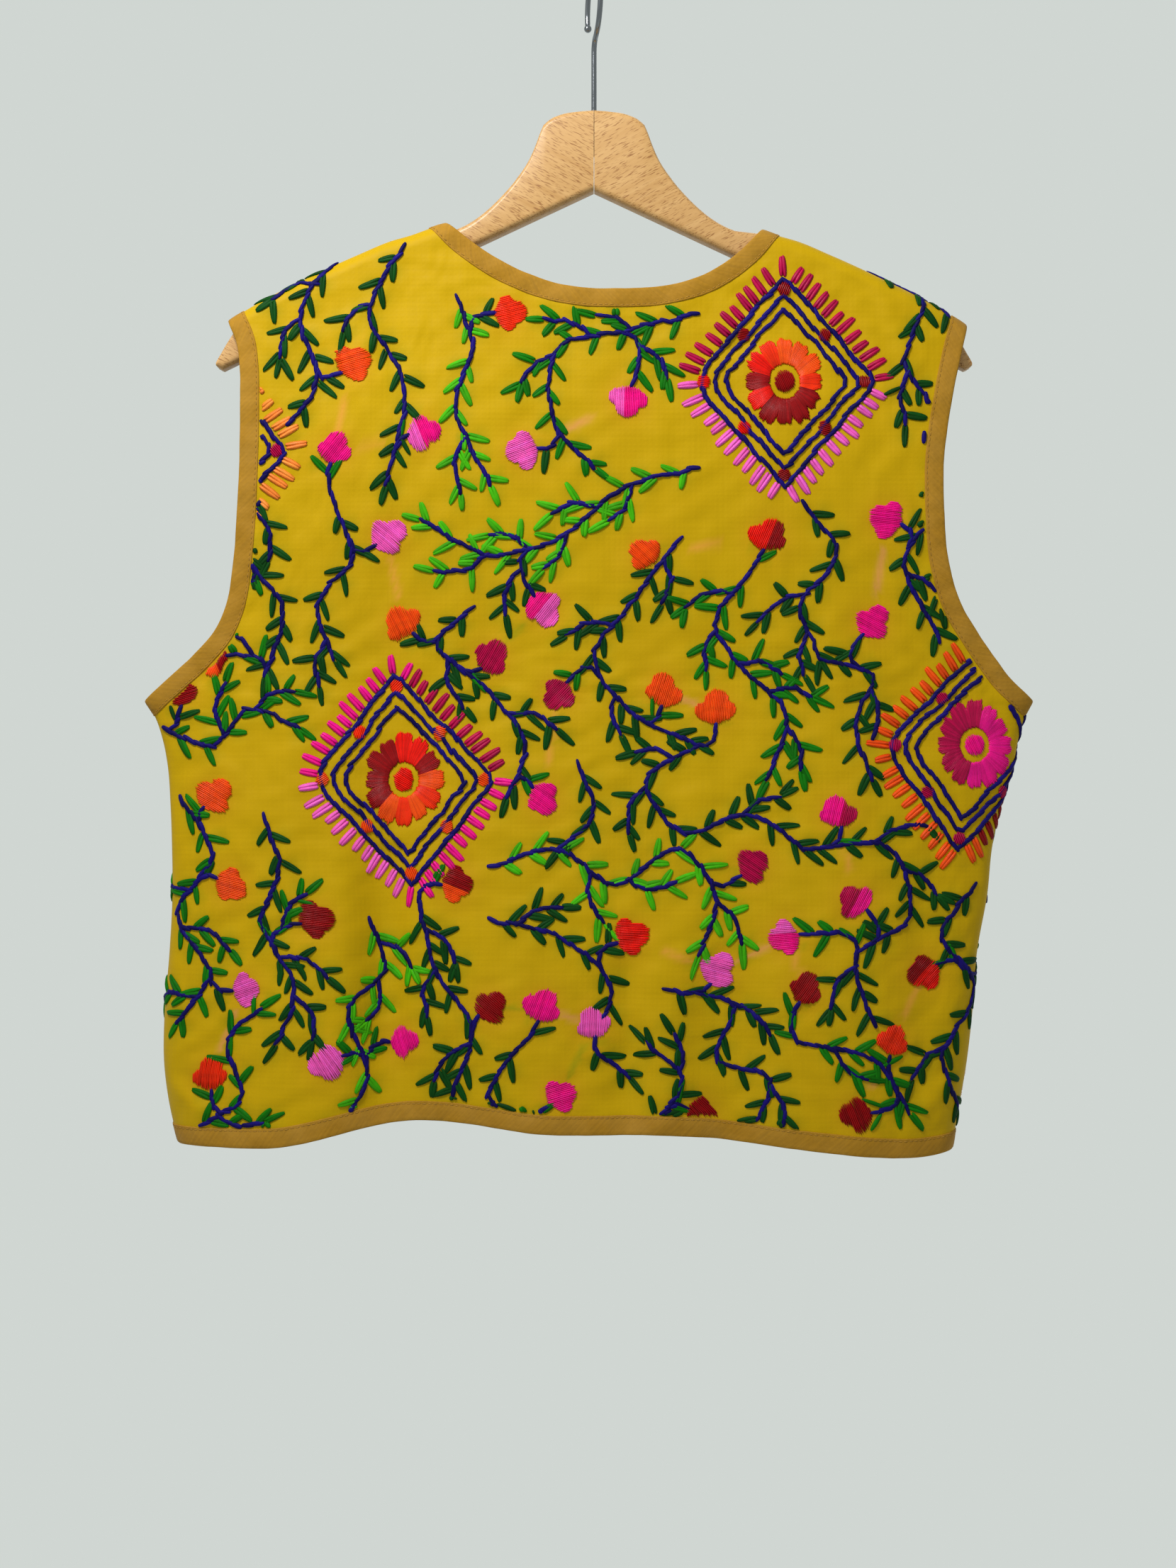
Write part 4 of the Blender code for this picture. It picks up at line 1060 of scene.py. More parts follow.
def diamond(middle, corners, share, wobble, source):
    """Points round a diamond with rounded corners, the side ones more than the top and bottom."""
    ring = middle + corners * share
    path = []
    for number, corner in enumerate(ring):
        cut = (.02, .07, .02, .17)[number]
        start, end = (corner + (other - corner) * cut for other in (ring[number - 1], ring[(number + 1) % 4]))
        turn = np.linspace(0, 1, 7)[:, None]
        path.append((1 - turn) ** 2 * start + 2 * turn * (1 - turn) * corner + turn ** 2 * end)
    path = resampled(np.concatenate([*path, path[0][:1]]), np.linspace(0, 1, 161))
    turn = np.linspace(0, math.tau, len(path))
    sway = sum(np.sin(turn * count + source.uniform(0, 6)) for count in (5, 9, 14)) * wobble
    out = unit(path - middle)
    return path + out * sway[:, None]


def medallion(chart, side, sizes, source):
    """Three diamond outlines, dots on the middle one, a fringe outside and a daisy in it."""
    middle = charted([chart["centre"]], side)[0]
    (wide, high), lean = MEDALLION_HALF, chart["lean"]
    corners = np.array([(lean, -high), (wide, 0), (-lean, high), (-wide, 0)]) / 1000
    lines, fringe = [], []
    for share in DIAMOND_SHARES:
        outline = diamond(middle, corners, share, .00035, source)
        way = np.linalg.norm(np.diff(outline, axis=0), axis=1).sum()
        lines += stem_stitches(resampled(outline, np.linspace(0, 1, round(way / sizes.stitch_pitch) + 1)),
                               sizes, source)
    outline = diamond(middle, corners, 1, 0, source)
    count = round(np.linalg.norm(np.diff(outline, axis=0), axis=1).sum() / sizes.fringe_pitch)
    shares = (np.arange(count) + source.uniform(-.12, .12, count)) / count
    feet, beyond = resampled(outline, shares), resampled(outline, shares + .004)
    for foot, step in zip(feet, unit(beyond - feet)):
        away = foot - middle
        colour = chart["fringe"][(0 if away[1] < 0 else 1) if away[0] > 0 else (2 if away[1] > 0 else 3)]
        out = unit(np.array([step[1], -step[0]]) * .62 + unit(away) * .38)
        heading = math.atan2(out[1], out[0])
        length = sizes.fringe_length * source.uniform(.82, 1.15)
        for strand in (-1, 1):
            aside = np.array([-out[1], out[0]]) * strand * .00085
            fringe.append((foot + out * (length / 2 + .0012) + aside, heading - strand * .035,
                           shaded(THREADS[colour], .22, source), length * source.uniform(.93, 1.04),
                           FRINGE_WIDTH, FRINGE_HEIGHT, FRINGE_LIFT))
    ring = middle + corners * (DIAMOND_SHARES[0] + DIAMOND_SHARES[1]) / 2 * .96
    for number, (start, end) in enumerate(zip(ring, np.roll(ring, -1, axis=0))):
        fringe += dot(start, chart["dots"][number % len(chart["dots"])], sizes, source)
        fringe += dot((start + end) / 2, chart["dots"][(number + 1) % len(chart["dots"])], sizes, source)
    return lines, fringe + daisy(middle, chart["petals"], chart["heart"], sizes, source)


# Materials


def node(tree, kind, links=(), **settings):
    """Adds a shader node. links pairs its input names with another node's output, settings are values."""
    made = tree.nodes.new("ShaderNode" + kind)
    for key, value in settings.items():
        if key in made.inputs:
            made.inputs[key].default_value = value
        elif hasattr(made, key):
            setattr(made, key, value)
        else:
            made.inputs[key.replace("_", " ")].default_value = value
    for key, source in dict(links).items():
        tree.links.new(source, made.inputs[key])
    return made


def new_finish(name, roughness, **values):
    """An empty material with its shader: its node tree and the shader."""
    material = bpy.data.materials.new(name)
    material.use_nodes = True
    shader = material.node_tree.nodes["Principled BSDF"]
    shader.inputs["Roughness"].default_value = roughness
    for key, value in values.items():
        shader.inputs[key.replace("_", " ")].default_value = value
    return material, material.node_tree, shader


def blend_colours(tree, share, first, second, how="MIX"):
    """A Mix node between two colours, each a value or an output."""
    mix = tree.nodes.new("ShaderNodeMix")
    mix.data_type, mix.blend_type = "RGBA", how
    for socket, value in ((mix.inputs[0], share), (mix.inputs[6], first), (mix.inputs[7], second)):
        if isinstance(value, bpy.types.NodeSocket):
            tree.links.new(value, socket)
        else:
            socket.default_value = value if isinstance(value, float) else (*value, 1)
    return mix.outputs[2]


def ramped(tree, source, low, high):
    """A value brought from this range to 0 to 1."""
    made = node(tree, "MapRange", {"Value": source}, From_Min=low, From_Max=high)
    return made.outputs["Result"]


def weave_bump(tree, shader, chart, threads, depth, slubs):
    """Crossed threads and slubs as a bump. threads is their number in a metre of the chart's units."""
    warp = node(tree, "TexWave", {"Vector": chart}, bands_direction="X", Scale=threads / 20, Distortion=1.2,
                Detail=1.0, Detail_Scale=2.0)
    weft = node(tree, "TexWave", {"Vector": chart}, bands_direction="Y", Scale=threads / 20, Distortion=1.2,
                Detail=1.0, Detail_Scale=2.0)
    crossed = node(tree, "Math", operation="MULTIPLY")
    tree.links.new(warp.outputs["Fac"], crossed.inputs[0])
    tree.links.new(weft.outputs["Fac"], crossed.inputs[1])
    height = node(tree, "Math", operation="ADD")
    tree.links.new(crossed.outputs[0], height.inputs[0])
    tree.links.new(slubs, height.inputs[1])
    bump = node(tree, "Bump", {"Height": height.outputs[0]}, Strength=1.0, Distance=depth)
    tree.links.new(bump.outputs["Normal"], shader.inputs["Normal"])


def rayon_cloth(settings):
    """Plain-woven spun rayon, piece-dyed mustard: thin, softly lustrous, with uneven threads both ways."""
    base = tuple(settings.cloth_colour)
    material, tree, shader = new_finish("mustard_rayon", .6, Sheen_Weight=.03, Sheen_Roughness=.45,
                                        Specular_IOR_Level=.10)
    shader.inputs["Sheen Tint"].default_value = (1.0, .88, .45, 1)
    chart = node(tree, "UVMap", uv_map="cloth").outputs["UV"]
    warp = node(tree, "Mapping", {"Vector": chart}, Scale=(700, 26, 1)).outputs[0]
    slub_x = node(tree, "TexNoise", {"Vector": warp}, Scale=1.0, Detail=2.0)
    weft = node(tree, "Mapping", {"Vector": chart}, Scale=(26, 700, 1)).outputs[0]
    slub_y = node(tree, "TexNoise", {"Vector": weft}, Scale=1.0, Detail=2.0)
    slubs = node(tree, "Math", operation="ADD")
    tree.links.new(slub_x.outputs["Fac"], slubs.inputs[0])
    tree.links.new(slub_y.outputs["Fac"], slubs.inputs[1])
    cloudy = node(tree, "TexNoise", {"Vector": chart}, Scale=9.0, Detail=3.0)
    dark = tuple(part * .97 for part in base)
    light = tuple(min(1, part * 1.015) for part in base)
    plain = blend_colours(tree, ramped(tree, slubs.outputs[0], .75, 1.25), dark, light)
    plain = blend_colours(tree, ramped(tree, cloudy.outputs["Fac"], .25, .8), plain,
                          blend_colours(tree, .16, plain, colour_of("#8a5a00")))
    ghost = node(tree, "Attribute", attribute_name="float")
    seen = blend_colours(tree, ghost.outputs["Alpha"], plain, ghost.outputs["Color"])
    tree.links.new(seen, shader.inputs["Base Color"])
    rough = ramped(tree, slubs.outputs[0], .2, 1.9)
    tree.links.new(node(tree, "MapRange", {"Value": rough}, To_Min=.48, To_Max=.66).outputs[0],
                   shader.inputs["Roughness"])
    # The real threads are 0.35 mm apart, and are drawn at 0.5 mm
    weave_bump(tree, shader, chart, 2000, .00003, slubs.outputs[0])
    return material


def bias_tape(settings):
    """Matte cotton tape cut on the bias: its threads run slantwise, and it is paler in soft random patches.
    """
    base = tuple(settings.binding_colour)
    material, tree, shader = new_finish("ochre_tape", .74, Sheen_Weight=.05, Sheen_Roughness=.5,
                                        Specular_IOR_Level=.15)
    chart = node(tree, "UVMap", uv_map="cloth").outputs["UV"]
    slanted = node(tree, "Mapping", {"Vector": chart}, Rotation=(0, 0, math.radians(45)), Scale=(1, 1, 1))
    lengthwise = node(tree, "Mapping", {"Vector": slanted.outputs[0]}, Scale=(900, 60, 1)).outputs[0]
    threads = node(tree, "TexNoise", {"Vector": lengthwise}, Scale=1.0, Detail=3.0)
    cloudy = node(tree, "TexNoise", {"Vector": chart}, Scale=45.0, Detail=3.0)
    dark, light = tuple(part * .88 for part in base), tuple(part * 1.08 for part in base)
    plain = blend_colours(tree, ramped(tree, threads.outputs["Fac"], .3, .7), dark, light)
    plain = blend_colours(tree, ramped(tree, cloudy.outputs["Fac"], .35, .8), plain,
                          blend_colours(tree, .3, plain, colour_of("#c99a45")))
    tree.links.new(plain, shader.inputs["Base Color"])
    rough = node(tree, "MapRange", {"Value": threads.outputs["Fac"]}, To_Min=.62, To_Max=.8)
    tree.links.new(rough.outputs[0], shader.inputs["Roughness"])
    weave_bump(tree, shader, slanted.outputs[0], 2000, .00006, threads.outputs["Fac"])
    return material


def twisted_thread(name, roughness, specular):
    """Embroidery floss or sewing cotton: fine filaments run along each stitch and break up its sheen, and
    painted shade darkens the grooves between them.
    """
    material, tree, shader = new_finish(name, roughness, Specular_IOR_Level=specular)
    chart = node(tree, "UVMap", uv_map="strand").outputs["UV"]
    dye = node(tree, "Attribute", attribute_name="dye").outputs["Color"]
    strands = node(tree, "TexNoise",
                   {"Vector": node(tree, "Mapping", {"Vector": chart}, Scale=(1.6, 26, 1)).outputs[0]},
                   Scale=1.0, Detail=2.0)
    # Painted shade: the dye is darkened to 55 % where the strand bump is low, in the grooves between the
    # filaments.
    groove_shade = blend_colours(tree, .45, dye, (0.0, 0.0, 0.0))
    tree.links.new(blend_colours(tree, ramped(tree, strands.outputs["Fac"], .25, .55), groove_shade, dye),
                   shader.inputs["Base Color"])
    tree.links.new(node(tree, "MapRange", {"Value": strands.outputs["Fac"]}, To_Min=roughness - .08,
                        To_Max=roughness + .12).outputs[0], shader.inputs["Roughness"])
    bump = node(tree, "Bump", {"Height": strands.outputs["Fac"]}, Strength=.8, Distance=.00025)
    tree.links.new(bump.outputs["Normal"], shader.inputs["Normal"])
    return material


def lacquered_beech(name, slope):
    """Planed beech under a thin satin lacquer: straight pale grain and short darker flecks along each arm."""
    material, tree, shader = new_finish(name, .42, Specular_IOR_Level=.45, Coat_Weight=.15, Coat_Roughness=.3)
    where = node(tree, "TexCoord").outputs["Object"]
    level = node(tree, "Mapping", {"Vector": where}, Rotation=(0, slope, 0)).outputs[0]
    flecks = node(tree, "TexNoise",
                  {"Vector": node(tree, "Mapping", {"Vector": level}, Scale=(230, 1500, 1700)).outputs[0]},
                  Scale=1.0, Detail=1.5)
    rings = node(tree, "TexNoise",
                 {"Vector": node(tree, "Mapping", {"Vector": level}, Scale=(7, 150, 260)).outputs[0]},
                 Scale=1.0, Detail=3.0)
    plain = blend_colours(tree, ramped(tree, rings.outputs["Fac"], .3, .72), colour_of("#d2a569"),
                          colour_of("#c19153"))
    flecked = blend_colours(tree, ramped(tree, flecks.outputs["Fac"], .54, .70), plain, colour_of("#976532"))
    tree.links.new(flecked, shader.inputs["Base Color"])
    tree.links.new(node(tree, "MapRange", {"Value": rings.outputs["Fac"]}, To_Min=.36, To_Max=.52).outputs[0],
                   shader.inputs["Roughness"])
    bump = node(tree, "Bump", {"Height": flecks.outputs["Fac"]}, Strength=.5, Distance=.0001)
    tree.links.new(bump.outputs["Normal"], shader.inputs["Normal"])
    return material


def bright_wire():
    """Drawn steel wire, chromium plated: a mirror whose roughness varies in fine specks."""
    material, tree, shader = new_finish("chromed_wire", .14, Metallic=1.0)
    shader.inputs["Base Color"].default_value = (*colour_of("#8c9095"), 1)
    where = node(tree, "TexCoord").outputs["Object"]
    marks = node(tree, "TexNoise", {"Vector": where}, Scale=900.0, Detail=2.0)
    tree.links.new(node(tree, "MapRange", {"Value": marks.outputs["Fac"]}, To_Min=.08, To_Max=.26).outputs[0],
                   shader.inputs["Roughness"])
    return material


def matt_paint(name, code):
    """Flat emulsion paint with a faint roller texture."""
    material, tree, shader = new_finish(name, .85)
    shader.inputs["Base Color"].default_value = (*colour_of(code), 1)
    where = node(tree, "TexCoord").outputs["Object"]
    roller = node(tree, "TexNoise", {"Vector": where}, Scale=220.0, Detail=2.0)
    bump = node(tree, "Bump", {"Height": roller.outputs["Fac"]}, Strength=.25, Distance=.0006)
    tree.links.new(bump.outputs["Normal"], shader.inputs["Normal"])
    return material


def pale_room(code, dim, bright):
    """A plain room that is brighter on its far side, behind the waistcoat, like a lit wall."""
    world = bpy.data.worlds.new("pale_room")
    world.use_nodes = True
    tree = world.node_tree
    background = tree.nodes["Background"]
    background.inputs["Color"].default_value = (*colour_of(code), 1)
    way = node(tree, "SeparateXYZ", {"Vector": node(tree, "TexCoord").outputs["Generated"]})
    glow = node(tree, "MapRange", {"Value": way.outputs["Y"]}, From_Min=.2, From_Max=.9, To_Min=dim,
                To_Max=bright)
    tree.links.new(glow.outputs["Result"], background.inputs["Strength"])
    return world


# Settings


class ClothSettings(bpy.types.PropertyGroup):
    thickness: bpy.props.FloatProperty(name="Thickness", description="Of the cloth's wall", default=.0007,
                                       unit="LENGTH")
    cloth_colour: bpy.props.FloatVectorProperty(name="Cloth", description="Dyed colour of the cloth",
                                                subtype="COLOR", size=3, default=colour_of("#c9a200"))
    binding_colour: bpy.props.FloatVectorProperty(name="Binding", description="Dyed colour of the tape",
                                                  subtype="COLOR", size=3, default=colour_of("#a7781a"))
    topstitch_length: bpy.props.FloatProperty(name="Topstitch", description="Of a stitch on the bindings",
                                              default=.0023, unit="LENGTH")


class EmbroiderySettings(bpy.types.PropertyGroup):
    stitch_pitch: bpy.props.FloatProperty(name="Stem stitch", description="From one stem stitch to the next",
                                          default=.0054, unit="LENGTH")
    vine_width: bpy.props.FloatProperty(name="Vine width", description="Width of a stem stitch",
                                        default=.0028, unit="LENGTH")
    leaf_length: bpy.props.FloatProperty(name="Leaf length", description="Length of a leaf",
                                         default=.0128, unit="LENGTH")
    leaf_width: bpy.props.FloatProperty(name="Leaf width", description="Width of a leaf",
                                        default=.0044, unit="LENGTH")
    leaf_pitch: bpy.props.FloatProperty(name="Leaf spacing", description="From one pair to the next",
                                        default=.0158, unit="LENGTH")
    blossom_size: bpy.props.FloatProperty(name="Blossom", description="Size of a blossom",
                                          default=.0215, unit="LENGTH")
    satin_pitch: bpy.props.FloatProperty(name="Satin stitch", description="From one satin thread to the next",
                                         default=.0010, unit="LENGTH")
    dot_size: bpy.props.FloatProperty(name="Dot", description="Size of a medallion's dots",
                                      default=.0072, unit="LENGTH")
    daisy_size: bpy.props.FloatProperty(name="Daisy", description="Size of a medallion's flower",
                                        default=.0505, unit="LENGTH")
    fringe_length: bpy.props.FloatProperty(name="Fringe", description="Length of a medallion's fringe",
                                           default=.0125, unit="LENGTH")
    fringe_pitch: bpy.props.FloatProperty(name="Fringe spacing", description="From one stitch to the next",
                                          default=.0065, unit="LENGTH")


class StageSettings(bpy.types.PropertyGroup):
    distance: bpy.props.FloatProperty(name="Camera distance", description="From the camera to the hanger",
                                      default=1.2, unit="LENGTH")
    floor_drop: bpy.props.FloatProperty(name="Floor", description="How far the floor is under the rail",
                                        default=1.3, unit="LENGTH")
    key_power: bpy.props.FloatProperty(name="Key light", description="Power of the main light",
                                       default=8.7, unit="POWER")


class WaistcoatSettings(bpy.types.PropertyGroup):
    cloth: bpy.props.PointerProperty(type=ClothSettings)
    embroidery: bpy.props.PointerProperty(type=EmbroiderySettings)
    stage: bpy.props.PointerProperty(type=StageSettings)


# Pieces


def float_colours(points_flat, marks):
    """Colour and strength of the threads and stitch backs that show through the cloth at each point."""
    tint = np.zeros((len(points_flat), 4))
    for start, end, reach, strength, code in marks:
        run = end - start
        away = points_flat - start
        share = np.clip((away @ run) / max(run @ run, 1e-12), 0, 1)
        gap = np.linalg.norm(away - share[:, None] * run, axis=1)
        weight = strength * np.exp(-(gap / reach) ** 2)
        more = weight > tint[:, 3]
        tint[more, :3] = colour_of(code)
        tint[more, 3] = weight[more]
    return tint


def cloth_panel(name, places, side, material, settings, marks):
    """A panel of thin cloth with its wall, on the form of its solid."""
    angle = np.clip(places[..., 0], -math.pi / 2, math.pi / 2)
    places = np.stack([angle, places[..., 1]], -1)
    points = surface(places, BACK)
    drop = -HOOK_RISE - points[..., 2]
    way = by_row(angle.ravel(), lambda row: lambda a: np.interp(a, ARC_ANGLES, ARCS[side][row]), drop.ravel())
    down = shoulder_drop_at(angle) + np.abs(places[..., 1])
    flat = np.stack([way.reshape(angle.shape), down], -1)
    tint = float_colours(flat.reshape(-1, 2), marks).reshape(*angle.shape, 4)
    bm = grid_mesh(points, flat, tint)
    bm.normal_update()
    if sum((face.normal for face in bm.faces), Vector()).y * side < 0:
        bmesh.ops.reverse_faces(bm, faces=bm.faces)
    made = piece_from(name + "_cloth", bm, material, (name,))
    wall = made.modifiers.new("wall", "SOLIDIFY")
    wall.thickness, wall.offset = settings.thickness, -1
    return made


# Section of a binding: share of its width from the edge, and depth under the cloth's outer surface
TAPE_SECTION = ((.99, .0003), (1.0, -.0001), (.985, -.00050), (.94, -.00062), (.875, -.00040), (.82, -.00060),
                (.5, -.00070), (.2, -.00068), (.07, -.00055), (.012, -.00020), (.0, .00030), (.015, .00080),
                (.08, .00110), (.3, .00115), (.7, .00110), (.96, .00105), (.995, .00080), (.99, .0003))
TOPSTITCH_SHARE = .875


def strip_lines(stations, *lines):
    """Lines of places with evenly spread stations, matched from line to line."""
    middle = surface(np.mean(lines, axis=0), BACK)
    way = np.concatenate([[0], np.cumsum(np.linalg.norm(np.diff(middle, axis=0), axis=1))])
    count = max(2, round(way[-1] / stations))
    at = np.linspace(0, way[-1], count + 1)
    return at, [np.stack([np.interp(at, way, line[:, k]) for k in (0, 1)], -1) for line in lines]


def bound_edge(name, lines, material, thread, settings, closed, source):
    """A bias strip folded over an edge, and the line of stitches that holds it down."""
    at, (edge, seam) = strip_lines(.0022, *lines)
    pucker = 1 + .10 * np.sin(at / .0031 * 2.1) * np.sin(at / .0127 + 1)
    rows = []
    for share, depth in TAPE_SECTION:
        place = edge + (seam - edge) * share
        rows.append(surface(place, BACK, depth * np.where(depth < 0, pucker, 1)))
    points = np.stack(rows, axis=1)
    shares = np.array([share for share, _ in TAPE_SECTION]) * BINDING_WIDTH
    flat = np.stack(np.broadcast_arrays(shares[None, :], at[:, None]), -1)
    if closed:
        points[-1] = points[0]
    made = piece_from(name + "_tape", grid_mesh(points, flat, ring=True), material, (name,))
    stitches = []
    pitch = settings.topstitch_length * 1.35
    for start in np.arange(pitch / 2, at[-1] - pitch, pitch):
        ends = []
        for here in (start, start + settings.topstitch_length):
            share = TOPSTITCH_SHARE + source.normal(0, .008)
            pair = [np.array([np.interp(here, at, line[:, k]) for k in (0, 1)]) for line in (edge, seam)]
            ends.append(pair[0] + (pair[1] - pair[0]) * share)
        stitches.append(ends)
    stitches = np.array(stitches)
    template, faces = stitch_form(4, 4, .55)
    span = (template[:, 0] + 1) / 2
    place = stitches[:, 0][:, None] + (stitches[:, 1] - stitches[:, 0])[:, None] * span[None, :, None]
    points = surface(place, BACK, -(.00056 + template[:, 2] * .00022))
    run = surface(stitches[:, 1], BACK) - surface(stitches[:, 0], BACK)
    out = surface(stitches[:, 0], BACK, -.001) - surface(stitches[:, 0], BACK)
    points += unit(np.cross(run, out))[:, None] * template[None, :, 1, None] * .00026
    strand = np.broadcast_to(template[None, :, :2] * (.12, .03), (*points.shape[:2], 2))
    bm = joined(points, faces[:, ::-1], np.array(shaded("#b48632", .2, source)), strand)
    piece_from(name + "_topstitch", bm, thread)
    return made


def armhole_lines(left):
    """Edge and seam of an armhole's binding: up the back, over the shoulder and down the front."""
    lines = []
    for flat in (armhole_edge(left), armhole_seam(left)):
        back = on_cloth(flat)
        back[0, 0] = -math.pi / 2 if left else math.pi / 2
        lines.append(np.concatenate([back, back[:-1][::-1] * (1, -1)]))
    return lines


def neck_lines():
    """Edge and seam of the strip that runs up the left front, round the neck and down the right front."""
    lines = []
    for inside in (0, BINDING_WIDTH):
        fronts = []
        for left in (True, False):
            neck = front_neck_seam(left) if inside else front_neck_edge(left)
            x = front_edge_x(left, inside)
            hem = hem_drop(angle_at(x, HEM_DROP), FRONT, BINDING_WIDTH * .9)
            bottom = flattened(x, hem)
            rows = [bottom + (neck[0] - bottom) * share for share in np.linspace(0, 1, 40)]
            fronts.append(on_cloth(np.concatenate([rows, neck[1:]]), FRONT))
        back = on_cloth(back_neck_seam() if inside else back_neck_edge())
        lines.append(np.concatenate([fronts[0][:-1], back, fronts[1][:-1][::-1]]))
    return lines


def hem_lines():
    """Edge and seam of the strip round the lower edge, from one front edge round the back to the other."""
    lines = []
    for rise in (0, BINDING_WIDTH):
        parts = []
        for side, angles, turned in ((FRONT, front_angles(True, HEM_DROP, 0), lambda at: -math.pi - at),
                                     (BACK, back_angles(), lambda at: at),
                                     (FRONT, front_angles(False, HEM_DROP, 0), lambda at: math.pi - at)):
            over = over_from_below(hem_drop(angles, side, rise) - shoulder_drop_at(angles))
            parts.append(np.stack([turned(angles), over], -1))
        lines.append(np.concatenate([parts[0][:-1], parts[1], parts[2][:-1][::-1]]))
    return lines


def wooden_arm(name, left, material):
    """One arm of the hanger, lofted from the mitred joint to the tip with well-rounded edges."""
    arm = np.linspace(WOOD_ARM_START, WOOD_ARM_END, 30)
    neck = np.linspace(0, WOOD_NECK_X[-1], 40)
    tip = np.linspace(WOOD_TIP_X[0], WOOD_TIP_X[-1], 10)
    xs = np.concatenate([neck, arm, tip])
    tops = np.concatenate([smooth(neck, WOOD_NECK_X, WOOD_NECK_DROP),
                           shoulder_drop(arm) + WOOD_BELOW_SHOULDER,
                           smooth(tip, WOOD_TIP_X, WOOD_TIP_DROP)])
    xs[0] = WOOD_JOINT_GAP / 2
    bottoms = np.interp(xs, WOOD_UNDER_X, WOOD_UNDER_DROP)
    rings = []
    for x, top, bottom in zip(xs, tops, bottoms):
        rounding = min(WOOD_EDGE_ROUND, (bottom - top) * .45)
        ring = []
        for quarter, (y_sign, drop) in enumerate(((1, top + rounding), (-1, top + rounding),
                                                  (-1, bottom - rounding), (1, bottom - rounding))):
            for part in range(0, 91, 15):
                turn = math.radians(quarter * 90 + part)
                y = y_sign * (WOOD_THICKNESS / 2 - rounding) + rounding * math.cos(turn)
                ring.append((-x if left else x, y, -(HOOK_RISE + drop - rounding * math.sin(turn))))
        rings.append(ring)
    bm = bmesh.new()
    bmesh.ops.create_circle(bm, cap_ends=True, segments=len(rings[0]), radius=1)
    place = bm.verts.layers.int.new("place")
    for count, vertex in enumerate(bm.verts):
        vertex[place], vertex.co = count, Vector(rings[0][count])
    cap = bm.faces[:]
    for count, ring in enumerate(rings[1:]):
        made = bmesh.ops.extrude_face_region(bm, geom=cap)["geom"]
        if count:
            bmesh.ops.delete(bm, geom=cap, context="FACES_ONLY")
        cap = [item for item in made if isinstance(item, bmesh.types.BMFace)]
        for vertex in cap[0].verts:
            vertex.co = Vector(ring[vertex[place]])
    bm.verts.layers.int.remove(place)
    bmesh.ops.recalc_face_normals(bm, faces=bm.faces)
    made = piece_from(name + "_arm", bm, material, (name,))
    made.data.set_sharp_from_angle(angle=math.radians(40))
    return made


def wire_hook(name, material):
    """The bent wire: stem, bend and loop, with a ball end."""
    centre = -(HOOK_RADIUS - WIRE_RADIUS)
    bend = math.acos(HOOK_BEND_RADIUS / (HOOK_RADIUS + HOOK_BEND_RADIUS))
    stem_top = centre - (HOOK_RADIUS + HOOK_BEND_RADIUS) * math.sin(bend)
    path = [(0, z) for z in np.linspace(-HOOK_RISE - HOOK_SOCKET, stem_top, 6)]
    for turn in np.linspace(0, bend, 16)[1:]:
        path.append((-HOOK_BEND_RADIUS * (1 - math.cos(turn)), stem_top + HOOK_BEND_RADIUS * math.sin(turn)))
    for turn in np.linspace(math.pi / 2 - bend, math.tau - HOOK_END_ANGLE, 72)[1:]:
        path.append((-HOOK_RADIUS * math.sin(turn), centre - HOOK_RADIUS * math.cos(turn)))
    path = np.array([(-math.sin(HOOK_TURN) * reach, math.cos(HOOK_TURN) * reach, z) for reach, z in path])
    runs = unit(np.gradient(path, axis=0))
    side = np.array([math.cos(HOOK_TURN), math.sin(HOOK_TURN), 0])
    turn = np.linspace(0, math.tau, 17)
    lift = np.cross(runs, side)
    circle = side[None, None] * np.cos(turn)[None, :, None] + lift[:, None] * np.sin(turn)[None, :, None]
    bm = grid_mesh(path[:, None] + circle * WIRE_RADIUS, ring=True)
    ball = bmesh.ops.create_uvsphere(bm, u_segments=24, v_segments=16, radius=WIRE_RADIUS * (HOOK_BALL + .12))
    bmesh.ops.translate(bm, verts=ball["verts"], vec=Vector(path[-1]))
    return piece_from(name + "_wire", bm, material, (name,))


# Operators


